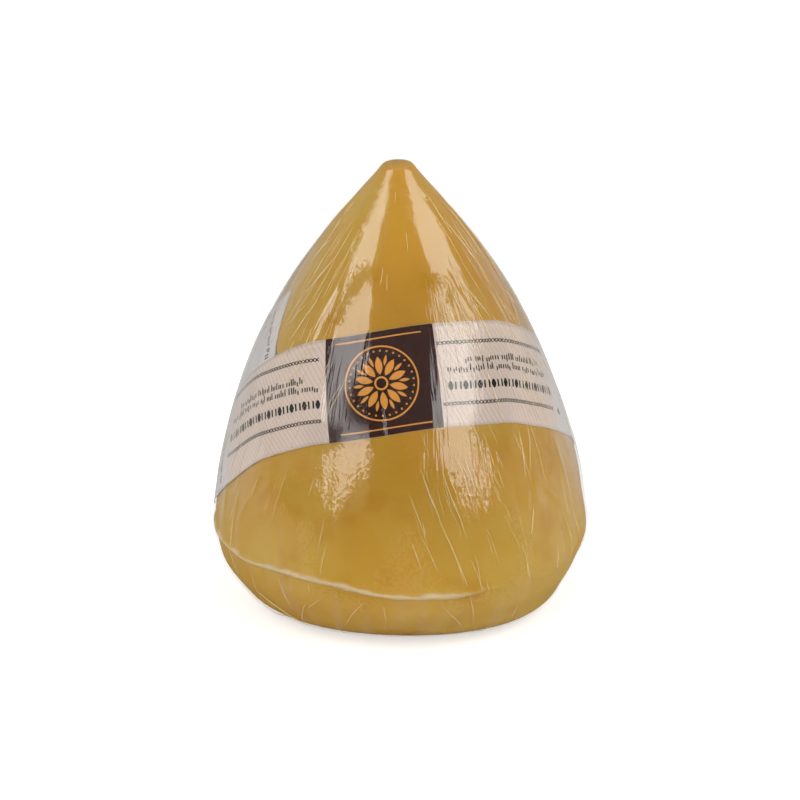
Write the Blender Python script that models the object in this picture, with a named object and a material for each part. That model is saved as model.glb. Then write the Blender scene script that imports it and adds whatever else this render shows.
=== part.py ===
"""A drop-shaped smoked cheese, wrapped tight in clear film, with the paper label band round it.

Row frame: metres, +Z up, origin at the centre of the flat foot, the middle of the label faces -Y.
Sizes below are in millimetres and degrees. An angle is counted round +Z from the front (-Y),
positive towards the right (+X), and may run past 180 where the band goes round the back.
"""

import math

import bmesh
import bpy
from mathutils import Vector

MM = 0.001

# The drop: (level, radius) from the rim of the foot to the rim of the tip.
DROP = (
    (0.0, 38.0),
    (3.0, 47.0),
    (9.0, 53.3),
    (17.0, 57.7),
    (27.0, 60.1),
    (40.0, 58.9),
    (58.0, 54.7),
    (80.0, 47.4),
    (102.0, 37.0),
    (124.0, 22.4),
    (143.0, 6.8),
    (145.6, 4.6),
    (146.5, 1.6),
)
COLUMNS = 96

# The cheese isn't quite a turned shape.
LEAN = ((0.0, 1.5), (18.0, 0.3), (34.0, 0.7), (80.0, -0.1), (146.5, -0.1))  # (level, how far right)
BELLY_SKEW = 3.1  # the belly is this much higher at the left, and lower at the right
# The foot's rim is pressed in at the front: how far, over which angles, over which levels.
FRONT_FLAT, FRONT_SPREAD, FRONT_RISE = 2.2, 38.0, 8.0
# The film draws the outline out into soft corners: (angle, level, spread of levels, how far out).
CORNERS = ((84.0, 28.0, 5.5, 0.8), (-84.0, 14.0, 8.0, 0.8), (52.0, 3.0, 4.5, 2.2), (-55.0, 3.0, 4.5, 1.1))
# Hands left shallow hollows round the flank: how many, how deep, their level and spread of levels.
HOLLOWS, HOLLOW_DEEP, HOLLOW_LEVEL, HOLLOW_SPREAD = 3, 0.25, 70.0, 38.0

# The mould line: a low, uneven ridge that runs round the belly and fades out on the right.
SEAM_HEIGHT, SEAM_WIDTH, SEAM_RISE = 24.0, 1.1, 0.7
SEAM_SAGS = ((10.0, 30.0, 2.2), (-72.0, 28.0, 2.0))  # (angle, spread, how far down)
SEAM_WAVES = ((7, -1.4, 0.3), (15, 0.0, 0.2))  # (how many round the cheese, phase, how far up and down)
SEAM_ENDS, SEAM_FADES = (-150.0, 40.0), (30.0, 22.0)  # the line grows and fades over these angles
SEAM_PULL, FOOT_CALM = 13.0, 9.0  # the body sways along with the line this far off it, but not at the foot

# The band: one strip of paper, so its middle runs high over the front and low round the back.
# (angle, height) from its left end over the front, right and back to the tail at the upper left.
BAND_PATH = (
    (-99.0, 44.0),
    (-80.0, 56.8),
    (-59.0, 72.0),
    (-30.0, 83.0),
    (16.0, 88.9),
    (45.0, 86.7),
    (67.0, 80.6),
    (90.0, 70.9),
    (120.0, 56.5),
    (170.0, 48.0),
    (215.0, 52.0),
    (240.0, 62.0),
    (264.0, 76.0),
    (293.5, 93.0),
)
BAND_WIDTH = 32.8
PINCH_ANGLE, PINCH_SPREAD, PINCH = -72.0, 24.0, 2.2  # the film creases the paper narrower here
BAND_THICK = 0.25
BAND_GAP = 0.25  # clear of the cheese, and of its own tail where the two ends cross
BAND_STEPS = 132
BAND_COLUMNS = 7
WALK_STEPS = 6  # a point off the band's middle line is reached in this many steps over the cheese
OVER_TAIL = (-8.0, -42.0)  # the left end rises between these angles to pass over the tail

SLOPE_ANGLE, SLOPE_LEVEL = 0.5, 0.2  # a slope is taken between points this far to either side


def smoothstep(low, high, value):
    share = min(max((value - low) / (high - low), 0.0), 1.0)
    return share * share * (3.0 - 2.0 * share)


def bump(value, middle, width):
    return math.exp(-(((value - middle) / width) ** 2))


def towards(angle, aim):
    """1 where the angle is the one aimed at, falling to 0 a quarter turn off it."""
    return max(math.cos(math.radians(angle - aim)), 0.0) ** 3


def curve_through(points):
    """A smooth function through (x, y) points that never swings past them."""
    xs, ys = zip(*points)
    slopes = [(ys[i + 1] - ys[i]) / (xs[i + 1] - xs[i]) for i in range(len(xs) - 1)]
    tangents = [slopes[0]]
    for before, after in zip(slopes, slopes[1:]):
        same_way = before * after > 0.0
        tangents.append(2.0 * before * after / (before + after) if same_way else 0.0)
    tangents.append(slopes[-1])

    def value(x):
        i = max(k for k in range(len(xs) - 1) if k == 0 or xs[k] <= x)
        span = xs[i + 1] - xs[i]
        t = min(max((x - xs[i]) / span, 0.0), 1.0)
        return (
            ys[i] * (1 + 2 * t) * (1 - t) ** 2
            + tangents[i] * span * t * (1 - t) ** 2
            + ys[i + 1] * t * t * (3 - 2 * t)
            + tangents[i + 1] * span * t * t * (t - 1)
        )

    return value


drop_radius = curve_through(DROP)
lean = curve_through(LEAN)
band_height = curve_through(BAND_PATH)


def seam_offset(angle):
    """How far the mould line lies above or below its mean height at this angle."""
    a = math.radians(angle)
    sag = sum(down * bump(angle, middle, spread) for middle, spread, down in SEAM_SAGS)
    waves = sum(far * math.sin(count * a + phase) for count, phase, far in SEAM_WAVES)
    return waves - BELLY_SKEW * math.sin(a) - sag


def seam_strength(angle):
    """1 along the mould line, falling to 0 at its two ends."""
    (start, end), (growing, fading) = SEAM_ENDS, SEAM_FADES
    return smoothstep(start, start + growing, angle) * smoothstep(end, end - fading, angle)


def bare_cheese(angle, level):
    """The point of the cheese in millimetres, with the angle between -180 and 180."""
    a = math.radians(angle)
    radius = drop_radius(level) - FRONT_FLAT * bump(angle, 0.0, FRONT_SPREAD) * bump(level, 0.0, FRONT_RISE)
    for aim, middle, spread, out in CORNERS:
        radius += out * towards(angle, aim) * bump(level, middle, spread)
    radius += HOLLOW_DEEP * math.cos(HOLLOWS * a) * bump(level, HOLLOW_LEVEL, HOLLOW_SPREAD)
    radius += SEAM_RISE * seam_strength(angle) * bump(level, SEAM_HEIGHT, SEAM_WIDTH)
    pulled = bump(level, SEAM_HEIGHT, SEAM_PULL) * smoothstep(0.0, FOOT_CALM, level)
    height = level + seam_offset(angle) * pulled
    return Vector((radius * math.sin(a) + lean(level), -radius * math.cos(a), height))


def slopes(form, angle, level):
    """How a form's point moves with the angle, per degree, and with the level, per millimetre."""
    round_way = (form(angle + SLOPE_ANGLE, level) - form(angle - SLOPE_ANGLE, level)) / (2 * SLOPE_ANGLE)
    up_way = (form(angle, level + SLOPE_LEVEL) - form(angle, level - SLOPE_LEVEL)) / (2 * SLOPE_LEVEL)
    return round_way, up_way


def surface(angle, level, lift=0.0):
    """The point of the wrapped cheese at this angle and level, lifted off it along the normal."""
    angle = (angle + 180.0) % 360.0 - 180.0
    point = bare_cheese(angle, level)
    if lift:
        round_way, up_way = slopes(bare_cheese, angle, level)
        point += round_way.cross(up_way).normalized() * lift
    return point * MM


def material(name, colour, roughness):
    made = bpy.data.materials.new(name)
    made.use_nodes = True
    shader = made.node_tree.nodes["Principled BSDF"]
    shader.inputs["Base Color"].default_value = (*colour, 1.0)
    shader.inputs["Roughness"].default_value = roughness
    shader.inputs["Metallic"].default_value = 0.0
    return made


def add_object(name, built, finish):
    bmesh.ops.recalc_face_normals(built, faces=built.faces[:])
    mesh = bpy.data.meshes.new(name)
    built.to_mesh(mesh)
    built.free()
    for polygon in mesh.polygons:
        polygon.use_smooth = len(polygon.vertices) == 4
    mesh.materials.append(finish)
    made = bpy.data.objects.new(name, mesh)
    bpy.context.scene.collection.objects.link(made)
    return made


def loft(built, rings, closed):
    """Skins the rings with quads. A closed ring also joins its last point to its first."""
    made = [[built.verts.new(point) for point in ring] for ring in rings]
    for lower, upper in zip(made, made[1:]):
        for i in range(len(lower) if closed else len(lower) - 1):
            j = (i + 1) % len(lower)
            built.faces.new((lower[i], lower[j], upper[j], upper[i]))
    return made


def row_levels():
    """Levels of the cheese's rings, close together where it turns: the foot, the mould line, the tip."""
    foot = [0.0, 0.9, 2.2, 4.2, 7.0, 10.5, 14.0, 17.5, 20.0]
    line = [SEAM_HEIGHT + SEAM_WIDTH * k for k in (-2.2, -1.4, -0.9, -0.45, 0.0, 0.45, 0.9, 1.4, 2.2)]
    flank = [29.0 + 5.5 * k for k in range(20)]
    tip = [137.4, 140.4, 142.8, 144.4, 145.3, 145.9, 146.3, 146.5]
    return foot + line + flank + tip


def build_cheese():
    built = bmesh.new()
    angles = [360.0 * k / COLUMNS for k in range(COLUMNS)]
    rings = loft(built, [[surface(a, level) for a in angles] for level in row_levels()], closed=True)
    built.faces.new(rings[0])
    built.faces.new(rings[-1])
    return add_object("cheese", built, material("smoked_rind_in_film", (0.47, 0.25, 0.045), 0.25))


def band_point(angle, across, lift):
    """A point of the strip: walk from its middle line square to its run, over the cheese."""
    before, after = angle - SLOPE_ANGLE, angle + SLOPE_ANGLE
    ahead = surface(after, band_height(after)) - surface(before, band_height(before))
    level = band_height(angle)
    step = across / WALK_STEPS * MM
    for _ in range(WALK_STEPS):
        round_way, up_way = slopes(surface, angle, level)
        normal = round_way.cross(up_way)
        square = normal.cross(ahead - ahead.project(normal)).normalized()
        angle += step * square.dot(round_way) / round_way.length_squared
        level += step * square.dot(up_way) / up_way.length_squared
    return surface(angle, level, lift)


def build_band():
    built = bmesh.new()
    first, last = BAND_PATH[0][0], BAND_PATH[-1][0]
    shares = [k / (BAND_COLUMNS - 1) - 0.5 for k in range(BAND_COLUMNS)]
    rings = []
    for k in range(BAND_STEPS + 1):
        angle = first + (last - first) * k / BAND_STEPS
        width = BAND_WIDTH - PINCH * bump(angle, PINCH_ANGLE, PINCH_SPREAD)
        over = (BAND_THICK + BAND_GAP) * smoothstep(OVER_TAIL[0], OVER_TAIL[1], angle)
        inner = [band_point(angle, width * share, BAND_GAP + over) for share in shares]
        outer = [band_point(angle, width * share, BAND_GAP + over + BAND_THICK) for share in shares]
        rings.append(inner + outer[::-1])
    rings = loft(built, rings, closed=True)
    built.faces.new(rings[0])
    built.faces.new(rings[-1])
    return add_object("label_band", built, material("label_paper", (0.68, 0.58, 0.48), 0.6))


for leftover in list(bpy.data.objects):
    bpy.data.objects.remove(leftover)
build_cheese()
build_band()
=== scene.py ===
# %% [markdown]
# # A smoked cheese in clear film
# A drop-shaped cheese with an amber rind stands on its flat foot. A strip of printed paper runs
# round it on a slant, and clear film is pulled tight over both. This notebook makes the looks of
# those three things round two solids that are already measured: the cheese and its label band.
# We load the solids first, because every later piece takes its place from them.

# %% Load the measured solids
import math

import bpy
import numpy as np
from mathutils import Matrix, Vector


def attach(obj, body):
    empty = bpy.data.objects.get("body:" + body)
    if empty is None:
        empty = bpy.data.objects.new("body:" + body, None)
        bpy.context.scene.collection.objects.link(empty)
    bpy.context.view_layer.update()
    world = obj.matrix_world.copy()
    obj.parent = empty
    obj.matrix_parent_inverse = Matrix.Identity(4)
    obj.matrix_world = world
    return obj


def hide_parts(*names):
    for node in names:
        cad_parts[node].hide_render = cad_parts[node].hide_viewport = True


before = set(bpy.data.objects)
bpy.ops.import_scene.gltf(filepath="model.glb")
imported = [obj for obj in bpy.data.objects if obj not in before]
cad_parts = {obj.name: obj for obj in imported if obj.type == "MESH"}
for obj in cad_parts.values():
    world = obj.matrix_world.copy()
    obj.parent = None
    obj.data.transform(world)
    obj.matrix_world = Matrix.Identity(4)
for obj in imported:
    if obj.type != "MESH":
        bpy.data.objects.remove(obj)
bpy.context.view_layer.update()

print("solids:", sorted(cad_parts))

# %% [markdown]
# ## The view, the floor and the lamps
# A product photo like this one is taken with a long lens from a little above. A long lens far away
# keeps the drop's sides almost parallel. A camera could be moved about until its picture looks
# right. We know how many millimetres of the object one pixel shows, so we work the lens out from
# that instead, and shift the picture a little, as the object isn't quite in its middle.

# %% The camera
MM = 0.001
PICTURE_PIXELS = 800
MM_PER_PIXEL = 0.3209
AIM = Vector((0.0, 0.0, 0.069))
AIM_PIXEL = (398.0, 391.9)  # where the aimed-at point shows, from the left and from the top
CAMERA_TILT, CAMERA_FAR, SENSOR_MM = 19.0, 1.5, 36.0


def direction(azimuth, elevation):
    """The way to look from the aim: azimuth 0 is the front, and it grows towards the right."""
    a, e = math.radians(azimuth), math.radians(elevation)
    return Vector((math.sin(a) * math.cos(e), -math.cos(a) * math.cos(e), math.sin(e)))


def add_object(name, data):
    made = bpy.data.objects.new(name, data)
    bpy.context.scene.collection.objects.link(made)
    return made


lens = bpy.data.cameras.new("camera")
lens.sensor_width = SENSOR_MM
lens.lens = SENSOR_MM * CAMERA_FAR / (PICTURE_PIXELS * MM_PER_PIXEL * MM)
lens.shift_x = (PICTURE_PIXELS / 2 - AIM_PIXEL[0]) / PICTURE_PIXELS
lens.shift_y = (AIM_PIXEL[1] - PICTURE_PIXELS / 2) / PICTURE_PIXELS
lens.clip_start = 0.05
camera = add_object("camera", lens)
camera.location = AIM + direction(0.0, CAMERA_TILT) * CAMERA_FAR
camera.rotation_euler = direction(0.0, CAMERA_TILT).to_track_quat("Z", "Y").to_euler()
bpy.context.scene.camera = camera
print(f"lens {lens.lens:.0f} mm, shift {lens.shift_x:.4f}, {lens.shift_y:.4f}")

# %% [markdown]
# The film mirrors the lamps as long bright streaks, so the lamps' shapes matter as much as their
# light. A point lamp would leave a dot. Instead, two tall softboxes stand left and right in front,
# each rolled outwards at its top, and a wide weak panel overhead lights the floor. A lamp's power
# follows from how bright its face should look: an even panel of area A and radiance L gives off pi
# times A times L watts.

# %% The lamps
# name, azimuth, elevation, metres from the aim, width, height, roll in degrees, radiance
LAMPS = (
    ("softbox_left", -47.0, 31.5, 1.0, 0.48, 1.22, 34.0, 3.35),
    ("softbox_right", 59.0, 30.0, 1.0, 0.55, 1.2, -40.0, 3.2),
    ("softbox_top", 180.0, 82.0, 2.6, 3.6, 3.0, 0.0, 0.42),
)


def softbox(name, azimuth, elevation, far, width, height, roll, radiance):
    """A rectangular lamp that faces the aim. Roll turns it about its own middle."""
    panel = bpy.data.lights.new(name, "AREA")
    panel.shape, panel.size, panel.size_y = "RECTANGLE", width, height
    panel.energy = math.pi * width * height * radiance
    lamp = add_object(name, panel)
    outwards = direction(azimuth, elevation)
    lamp.location = AIM + outwards * far
    facing = outwards.to_track_quat("Z", "Y").to_matrix().to_4x4()
    lamp.rotation_euler = (facing @ Matrix.Rotation(math.radians(roll), 4, "Z")).to_euler()
    return lamp


for lamp_sizes in LAMPS:
    lamp = softbox(*lamp_sizes)
    print(f"{lamp.name}: {lamp.data.energy:.2f} W")
bpy.context.scene.view_settings.view_transform = "Standard"

# %% [markdown]
# Materials and shapes are both trees of nodes. Written out in full, every node takes a line for its
# kind, one for each value and one for each link. We need a great many nodes, so small helpers do
# this instead. The first adds one node and fills its sockets, from a value or from another node's
# output.

# %% Helpers for node trees
def place(tree, kind, sockets=None, **settings):
    """Adds a node. A key of sockets is an input's name, number or identifier."""
    node = tree.nodes.new(kind)
    for name, value in settings.items():
        setattr(node, name, value)
    named = {socket.identifier: socket for socket in reversed(node.inputs)}
    for name, value in (sockets or {}).items():
        socket = node.inputs[name] if isinstance(name, int) else named.get(name) or node.inputs[name]
        if isinstance(value, bpy.types.NodeSocket):
            tree.links.new(value, socket)
        else:
            socket.default_value = value
    return node


def new_material(name, **plain):
    """A material with one Principled node. Plain values are set on the node's own sockets."""
    material = bpy.data.materials.new(name)
    material.use_nodes = True
    shader = material.node_tree.nodes["Principled BSDF"]
    for socket, value in plain.items():
        shader.inputs[socket.replace("_", " ")].default_value = value
    return material, material.node_tree, shader


def feed(tree, shader, **outputs):
    """Links other nodes' outputs to the sockets of these names on the Principled node."""
    for socket, output in outputs.items():
        tree.links.new(output, shader.inputs[socket.replace("_", " ")])


def math_node(tree, operation, first, second=0.0, clamp=False):
    sockets = {0: first, 1: second}
    return place(tree, "ShaderNodeMath", sockets, operation=operation, use_clamp=clamp).outputs[0]


def mix_colours(tree, factor, first, second):
    """Goes from the first colour to the second as the factor goes from 0 to 1."""
    sockets = {"Factor_Float": factor, "A_Color": first, "B_Color": second}
    return place(tree, "ShaderNodeMix", sockets, data_type="RGBA").outputs[2]


def mix_values(tree, factor, first, second):
    """The same for plain numbers."""
    sockets = {"Factor_Float": factor, "A_Float": first, "B_Float": second}
    return place(tree, "ShaderNodeMix", sockets).outputs[0]


def along_axis(tree, vector, axis, limits):
    """The share of the way between two limits that one part of a vector has gone, from 0 to 1."""
    part = place(tree, "ShaderNodeSeparateXYZ", {0: vector}).outputs[axis]
    sockets = {"Value": part, "From Min": limits[0], "From Max": limits[1]}
    return place(tree, "ShaderNodeMapRange", sockets).outputs["Result"]


# %% [markdown]
# A studio is white behind the thing that is shown, and dim in front of it, so that the film has
# little to mirror there but the lamps. One plain white room would be simpler to make, but the film
# would mirror it all round and turn milky. What is mirrored can be told from what lights the cheese
# by the kind of ray: a Light Path node does that, in the room and on the floor.

# %% The room
def grey(value):
    return (value, value, value, 1.0)


BACKDROP = grey(0.97)  # what the camera sees
FILL_LOW, FILL_HIGH = grey(2.5), grey(0.16)  # what lights the cheese, from beside it and from above
FILL_FADE = (0.0, 0.5)  # it goes from the one to the other as a ray points this far up
DIM, PALE = (0.05, 0.05, 0.055, 1.0), (0.5, 0.5, 0.51, 1.0)  # what the film mirrors, in front and behind
DIM_FADE = (0.1, 0.85)  # it goes from the one to the other as a ray points this far back

room = bpy.data.worlds.new("room")
room.use_nodes = True
air = room.node_tree
ray = place(air, "ShaderNodeLightPath").outputs
way = place(air, "ShaderNodeTexCoord").outputs["Generated"]
mirrored = mix_colours(air, along_axis(air, way, "Y", DIM_FADE), DIM, PALE)
fill = mix_colours(air, along_axis(air, way, "Z", FILL_FADE), FILL_LOW, FILL_HIGH)
plain = mix_colours(air, ray["Is Camera Ray"], fill, BACKDROP)
shade = mix_colours(air, ray["Is Glossy Ray"], plain, mirrored)
air.links.new(shade, air.nodes["Background"].inputs["Color"])
bpy.context.scene.world = room
print("the room has", len(air.nodes), "nodes")

# %% The floor
FLOOR_SIZE = 9.0
FLOOR_PALE, FLOOR_GREY, FLOOR_DIM = grey(0.82), grey(0.45), grey(0.15)
FLOOR_FADE = (0.0, 0.1)  # the film mirrors it dim in front of these metres, and grey behind them
GLOW_SEEN, GLOW_LIT, GLOW_MIRRORED = 0.5, 0.03, 0.05  # how much it glows for each kind of ray

paint, ground, paint_shader = new_material("pale_floor", Roughness=0.9, Emission_Color=grey(1.0))
ray = place(ground, "ShaderNodeLightPath").outputs
spot = place(ground, "ShaderNodeTexCoord").outputs["Object"]
far_back = along_axis(ground, spot, "Y", FLOOR_FADE)
mirrored = mix_colours(ground, far_back, FLOOR_DIM, FLOOR_GREY)
shade = mix_colours(ground, ray["Is Glossy Ray"], FLOOR_PALE, mirrored)
glow = mix_values(ground, ray["Is Camera Ray"], GLOW_LIT, GLOW_SEEN)
glow = mix_values(ground, ray["Is Glossy Ray"], glow, math_node(ground, "MULTIPLY", far_back, GLOW_MIRRORED))
feed(ground, paint_shader, Base_Color=shade, Emission_Strength=glow)

half = FLOOR_SIZE / 2
corners = [(-half, -half, 0), (half, -half, 0), (half, half, 0), (-half, half, 0)]
floor_mesh = bpy.data.meshes.new("floor")
floor_mesh.from_pydata(corners, [], [(0, 1, 2, 3)])
floor_mesh.materials.append(paint)
floor = add_object("floor", floor_mesh)
print(f"the floor is {FLOOR_SIZE:.0f} m wide")

# %% [markdown]
# ## The form of the drop
# The solid cheese is a turned profile with a few faults: it leans, its belly is higher at the left, its foot
# is pressed in at the front, and the film pulls soft corners out of it. It could be sculpted, but every skin
# that we add has to follow the same form at its own distance. So we write the form once, as a function of an
# angle, a level and a lift, and numpy works it out for whole grids of points. The angle is 0 at the front and
# grows towards the right.

# %% The drop's sizes, in millimetres and degrees
DROP = (  # (level, radius)
    (0.0, 38.0), (3.0, 47.0), (9.0, 53.3), (17.0, 57.7), (27.0, 60.1), (40.0, 58.9), (58.0, 54.7),
    (80.0, 47.4), (102.0, 37.0), (124.0, 22.4), (143.0, 6.8), (145.6, 4.6), (146.5, 1.6),
)
LEAN = ((0.0, 1.5), (18.0, 0.3), (34.0, 0.7), (80.0, -0.1), (146.5, -0.1))  # (level, how far right)
BELLY_SKEW = 3.1  # how much higher the belly is at the left than in the middle
FRONT_FLAT, FRONT_SPREAD, FRONT_RISE = 2.2, 38.0, 8.0  # how far in, over which angles, over which levels
# (angle, level, spread of levels, how far out)
CORNERS = ((84.0, 28.0, 5.5, 0.8), (-84.0, 14.0, 8.0, 0.8), (52.0, 3.0, 4.5, 2.2), (-55.0, 3.0, 4.5, 1.1))
HOLLOWS, HOLLOW_DEEP, HOLLOW_LEVEL, HOLLOW_SPREAD = 3, 0.25, 70.0, 38.0
SEAM_HEIGHT, SEAM_WIDTH, SEAM_RISE = 24.0, 1.1, 0.7
SEAM_SAGS = ((10.0, 30.0, 2.2), (-72.0, 28.0, 2.0))  # (angle, spread, how far down)
SEAM_WAVES = ((7, -1.4, 0.3), (15, 0.0, 0.2))  # (how many round the cheese, phase, how far up and down)
SEAM_ENDS, SEAM_FADES = (-150.0, 40.0), (30.0, 22.0)  # the line grows and fades over these angles
SEAM_PULL, FOOT_CALM = 13.0, 9.0  # the body sways along with the line this far off it, but not at the foot
SLOPE_ANGLE, SLOPE_LEVEL = 0.5, 0.2  # a slope is taken between points this far to either side
TIP_LEVEL = DROP[-1][0]


def curve_through(points):
    """A smooth function through (x, y) points that never swings past them."""
    xs, ys = np.array(points, float).T
    slopes = np.diff(ys) / np.diff(xs)
    before, after = slopes[:-1], slopes[1:]
    same_way = before * after > 0.0
    inner = np.where(same_way, 2.0 * before * after / np.where(same_way, before + after, 1.0), 0.0)
    tangents = np.concatenate((slopes[:1], inner, slopes[-1:]))

    def value(x):
        i = np.clip(np.searchsorted(xs, x, side="right") - 1, 0, len(xs) - 2)
        span = xs[i + 1] - xs[i]
        t = np.clip((x - xs[i]) / span, 0.0, 1.0)
        return (
            ys[i] * (1 + 2 * t) * (1 - t) ** 2
            + tangents[i] * span * t * (1 - t) ** 2
            + ys[i + 1] * t * t * (3 - 2 * t)
            + tangents[i + 1] * span * t * t * (t - 1)
        )

    return value


drop_radius = curve_through(DROP)
lean = curve_through(LEAN)
print(f"the profile is {TIP_LEVEL} mm high and {2 * max(radius for _, radius in DROP):.1f} mm wide")


# %% The drop as a function
def smoothstep(low, high, value):
    share = np.clip((value - low) / (high - low), 0.0, 1.0)
    return share * share * (3.0 - 2.0 * share)


def bump(value, middle, width):
    return np.exp(-(((value - middle) / width) ** 2))


def spots_at(angle, level, spots):
    """The sum of soft spots, each given as (angle, level, spread round, spread up, how strong)."""
    return sum(
        strong * bump(angle, middle, round_spread) * bump(level, height, up_spread)
        for middle, height, round_spread, up_spread, strong in spots
    )


def towards(angle, aim):
    """1 where the angle is the one aimed at, falling to 0 a quarter turn off it."""
    return np.maximum(np.cos(np.radians(angle - aim)), 0.0) ** 3


def sides_at(angle, level, sides):
    """The sum of wide bulges, each given as (angle, level, spread of levels, how far)."""
    return sum(far * towards(angle, aim) * bump(level, middle, spread) for aim, middle, spread, far in sides)


def seam_offset(angle):
    """How far the mould line lies above or below its mean height at this angle."""
    a = np.radians(angle)
    sag = sum(down * bump(angle, middle, spread) for middle, spread, down in SEAM_SAGS)
    waves = sum(far * np.sin(count * a + phase) for count, phase, far in SEAM_WAVES)
    return waves - BELLY_SKEW * np.sin(a) - sag


def seam_strength(angle):
    """1 along the mould line, falling to 0 at its two ends."""
    (start, end), (growing, fading) = SEAM_ENDS, SEAM_FADES
    return smoothstep(start, start + growing, angle) * smoothstep(end, end - fading, angle)


def bare_drop(angle, level):
    """Points of the drop in millimetres, with the angles between -180 and 180."""
    a = np.radians(angle)
    radius = drop_radius(level) - FRONT_FLAT * bump(angle, 0.0, FRONT_SPREAD) * bump(level, 0.0, FRONT_RISE)
    radius = radius + sides_at(angle, level, CORNERS)
    radius = radius + HOLLOW_DEEP * np.cos(HOLLOWS * a) * bump(level, HOLLOW_LEVEL, HOLLOW_SPREAD)
    radius = radius + SEAM_RISE * seam_strength(angle) * bump(level, SEAM_HEIGHT, SEAM_WIDTH)
    pulled = bump(level, SEAM_HEIGHT, SEAM_PULL) * smoothstep(0.0, FOOT_CALM, level)
    height = level + seam_offset(angle) * pulled
    return np.stack((radius * np.sin(a) + lean(level), -radius * np.cos(a), height), axis=-1)


print("the front of the mould line lies at", bare_drop(0.0, SEAM_HEIGHT).round(1))

# %% Points on the wrap, and lengths along its side
FINE_COUNT = 600


def unit(vectors):
    return vectors / np.linalg.norm(vectors, axis=-1, keepdims=True)


def slopes(form, angle, level):
    """How a form's points move with the angle, per degree, and with the level, per millimetre."""
    round_way = (form(angle + SLOPE_ANGLE, level) - form(angle - SLOPE_ANGLE, level)) / (2 * SLOPE_ANGLE)
    up_way = (form(angle, level + SLOPE_LEVEL) - form(angle, level - SLOPE_LEVEL)) / (2 * SLOPE_LEVEL)
    return round_way, up_way


def surface(angle, level, lift=0.0):
    """Points of the wrapped cheese in metres, at these angles and levels, lifted along the normal."""
    angle, level, lift = np.broadcast_arrays(np.asarray(angle, float), level, lift)
    angle = (angle + 180.0) % 360.0 - 180.0
    round_way, up_way = slopes(bare_drop, angle, level)
    normal = unit(np.cross(round_way, up_way))
    return (bare_drop(angle, level) + normal * lift[..., None]) * MM


fine_levels = np.linspace(0.0, TIP_LEVEL, FINE_COUNT)
fine_steps = np.linalg.norm(np.diff(bare_drop(np.full(FINE_COUNT, 90.0), fine_levels), axis=0), axis=1)
fine_lengths = np.concatenate(([0.0], np.cumsum(fine_steps)))


def length_at(level):
    """How many millimetres the side measures from the foot's rim up to this level."""
    return np.interp(level, fine_levels, fine_lengths)


def level_at(length):
    return np.interp(length, fine_lengths, fine_levels)


print(f"from the foot's rim to the tip's rim the side is {fine_lengths[-1]:.1f} mm long")

# %% [markdown]
# ## Turning a grid of points into a mesh
# A ball pushed into shape would crowd its points at the poles and stretch its faces on the flank.
# So we build each skin round the drop as a grid: rows go up the side and columns go round. Rows are
# spaced evenly along the side, not by height, so that the steep flank and the flat shoulder get
# equal cells. The foot and the tip are closed with smaller and smaller rings that end in one point.

# %% Skins round the drop
CAP_SHARES = (0.75, 0.45, 0.2)  # the rings that close the foot and the tip, as shares of its rim
FINE_ROWS, FINE_HALF = 41, 3.2  # how many rows lie closer together, over how many millimetres to either side


def add_mesh(name, points, faces, material):
    """A smooth mesh object from an array of points and an array or list of faces."""
    mesh = bpy.data.meshes.new(name)
    mesh.from_pydata(np.asarray(points).reshape(-1, 3).tolist(), [], [list(map(int, f)) for f in faces])
    mesh.validate()
    mesh.polygons.foreach_set("use_smooth", [True] * len(mesh.polygons))
    if material:
        mesh.materials.append(material)
    return add_object(name, mesh)


def grid_faces(rows, columns, closed=False, first=0):
    """Quads between neighbouring rows. A closed grid joins its last column to its first."""
    across = np.arange(columns if closed else columns - 1)
    beside = (across + 1) % columns
    row = first + np.arange(rows - 1)[:, None] * columns
    quads = np.stack((row + across, row + beside, row + columns + beside, row + columns + across), axis=-1)
    return quads.reshape(-1, 4)


def even_levels(rows):
    """Levels that lie evenly along the drop's side."""
    return level_at(np.linspace(0.0, fine_lengths[-1], rows))


def levels_closer_at(rows, level):
    """The same, with more rows that lie close together about one level."""
    lengths, middle = np.linspace(0.0, fine_lengths[-1], rows), length_at(level)
    closer = middle + np.linspace(-FINE_HALF, FINE_HALF, FINE_ROWS)
    return level_at(np.sort(np.concatenate((lengths[np.abs(lengths - middle) > FINE_HALF], closer))))


def close_skin(rings):
    """Adds the rings and the middle points that close a skin at its foot and at its tip."""
    foot, tip = rings[0], rings[-1]
    foot_middle, tip_middle = foot.mean(axis=0), tip.mean(axis=0)
    foot_rings = [foot_middle + (foot - foot_middle) * share for share in reversed(CAP_SHARES)]
    tip_rings = [tip_middle + (tip - tip_middle) * share for share in CAP_SHARES]
    stacked = np.concatenate((foot_rings, rings, tip_rings))
    rows, columns = stacked.shape[:2]
    points = np.concatenate((stacked.reshape(-1, 3), [foot_middle, tip_middle]))
    bottom, top, last = rows * columns, rows * columns + 1, (rows - 1) * columns
    around = [(k, (k + 1) % columns) for k in range(columns)]
    faces = list(grid_faces(rows, columns, closed=True))
    faces += [(bottom, after, before) for before, after in around]
    faces += [(top, last + before, last + after) for before, after in around]
    return points, faces


def give_attribute(piece, name, values, kind="FLOAT"):
    """Stores one value or one vector at each point, for the material to read."""
    field = "vector" if kind == "FLOAT_VECTOR" else "value"
    stored = piece.data.attributes.new(name, kind, "POINT")
    stored.data.foreach_set(field, np.asarray(values, np.float32).ravel())


def give_field(piece, name, grid):
    """Stores a grid's values on its closed skin. The rings that close an end get its rim's mean."""
    foot, tip = (np.full(len(CAP_SHARES) * grid.shape[1], grid[row].mean()) for row in (0, -1))
    give_attribute(piece, name, np.concatenate((foot, grid.ravel(), tip, (foot[0], tip[0]))))


print("eight even rows lie at the levels", even_levels(8).round(1))

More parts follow.
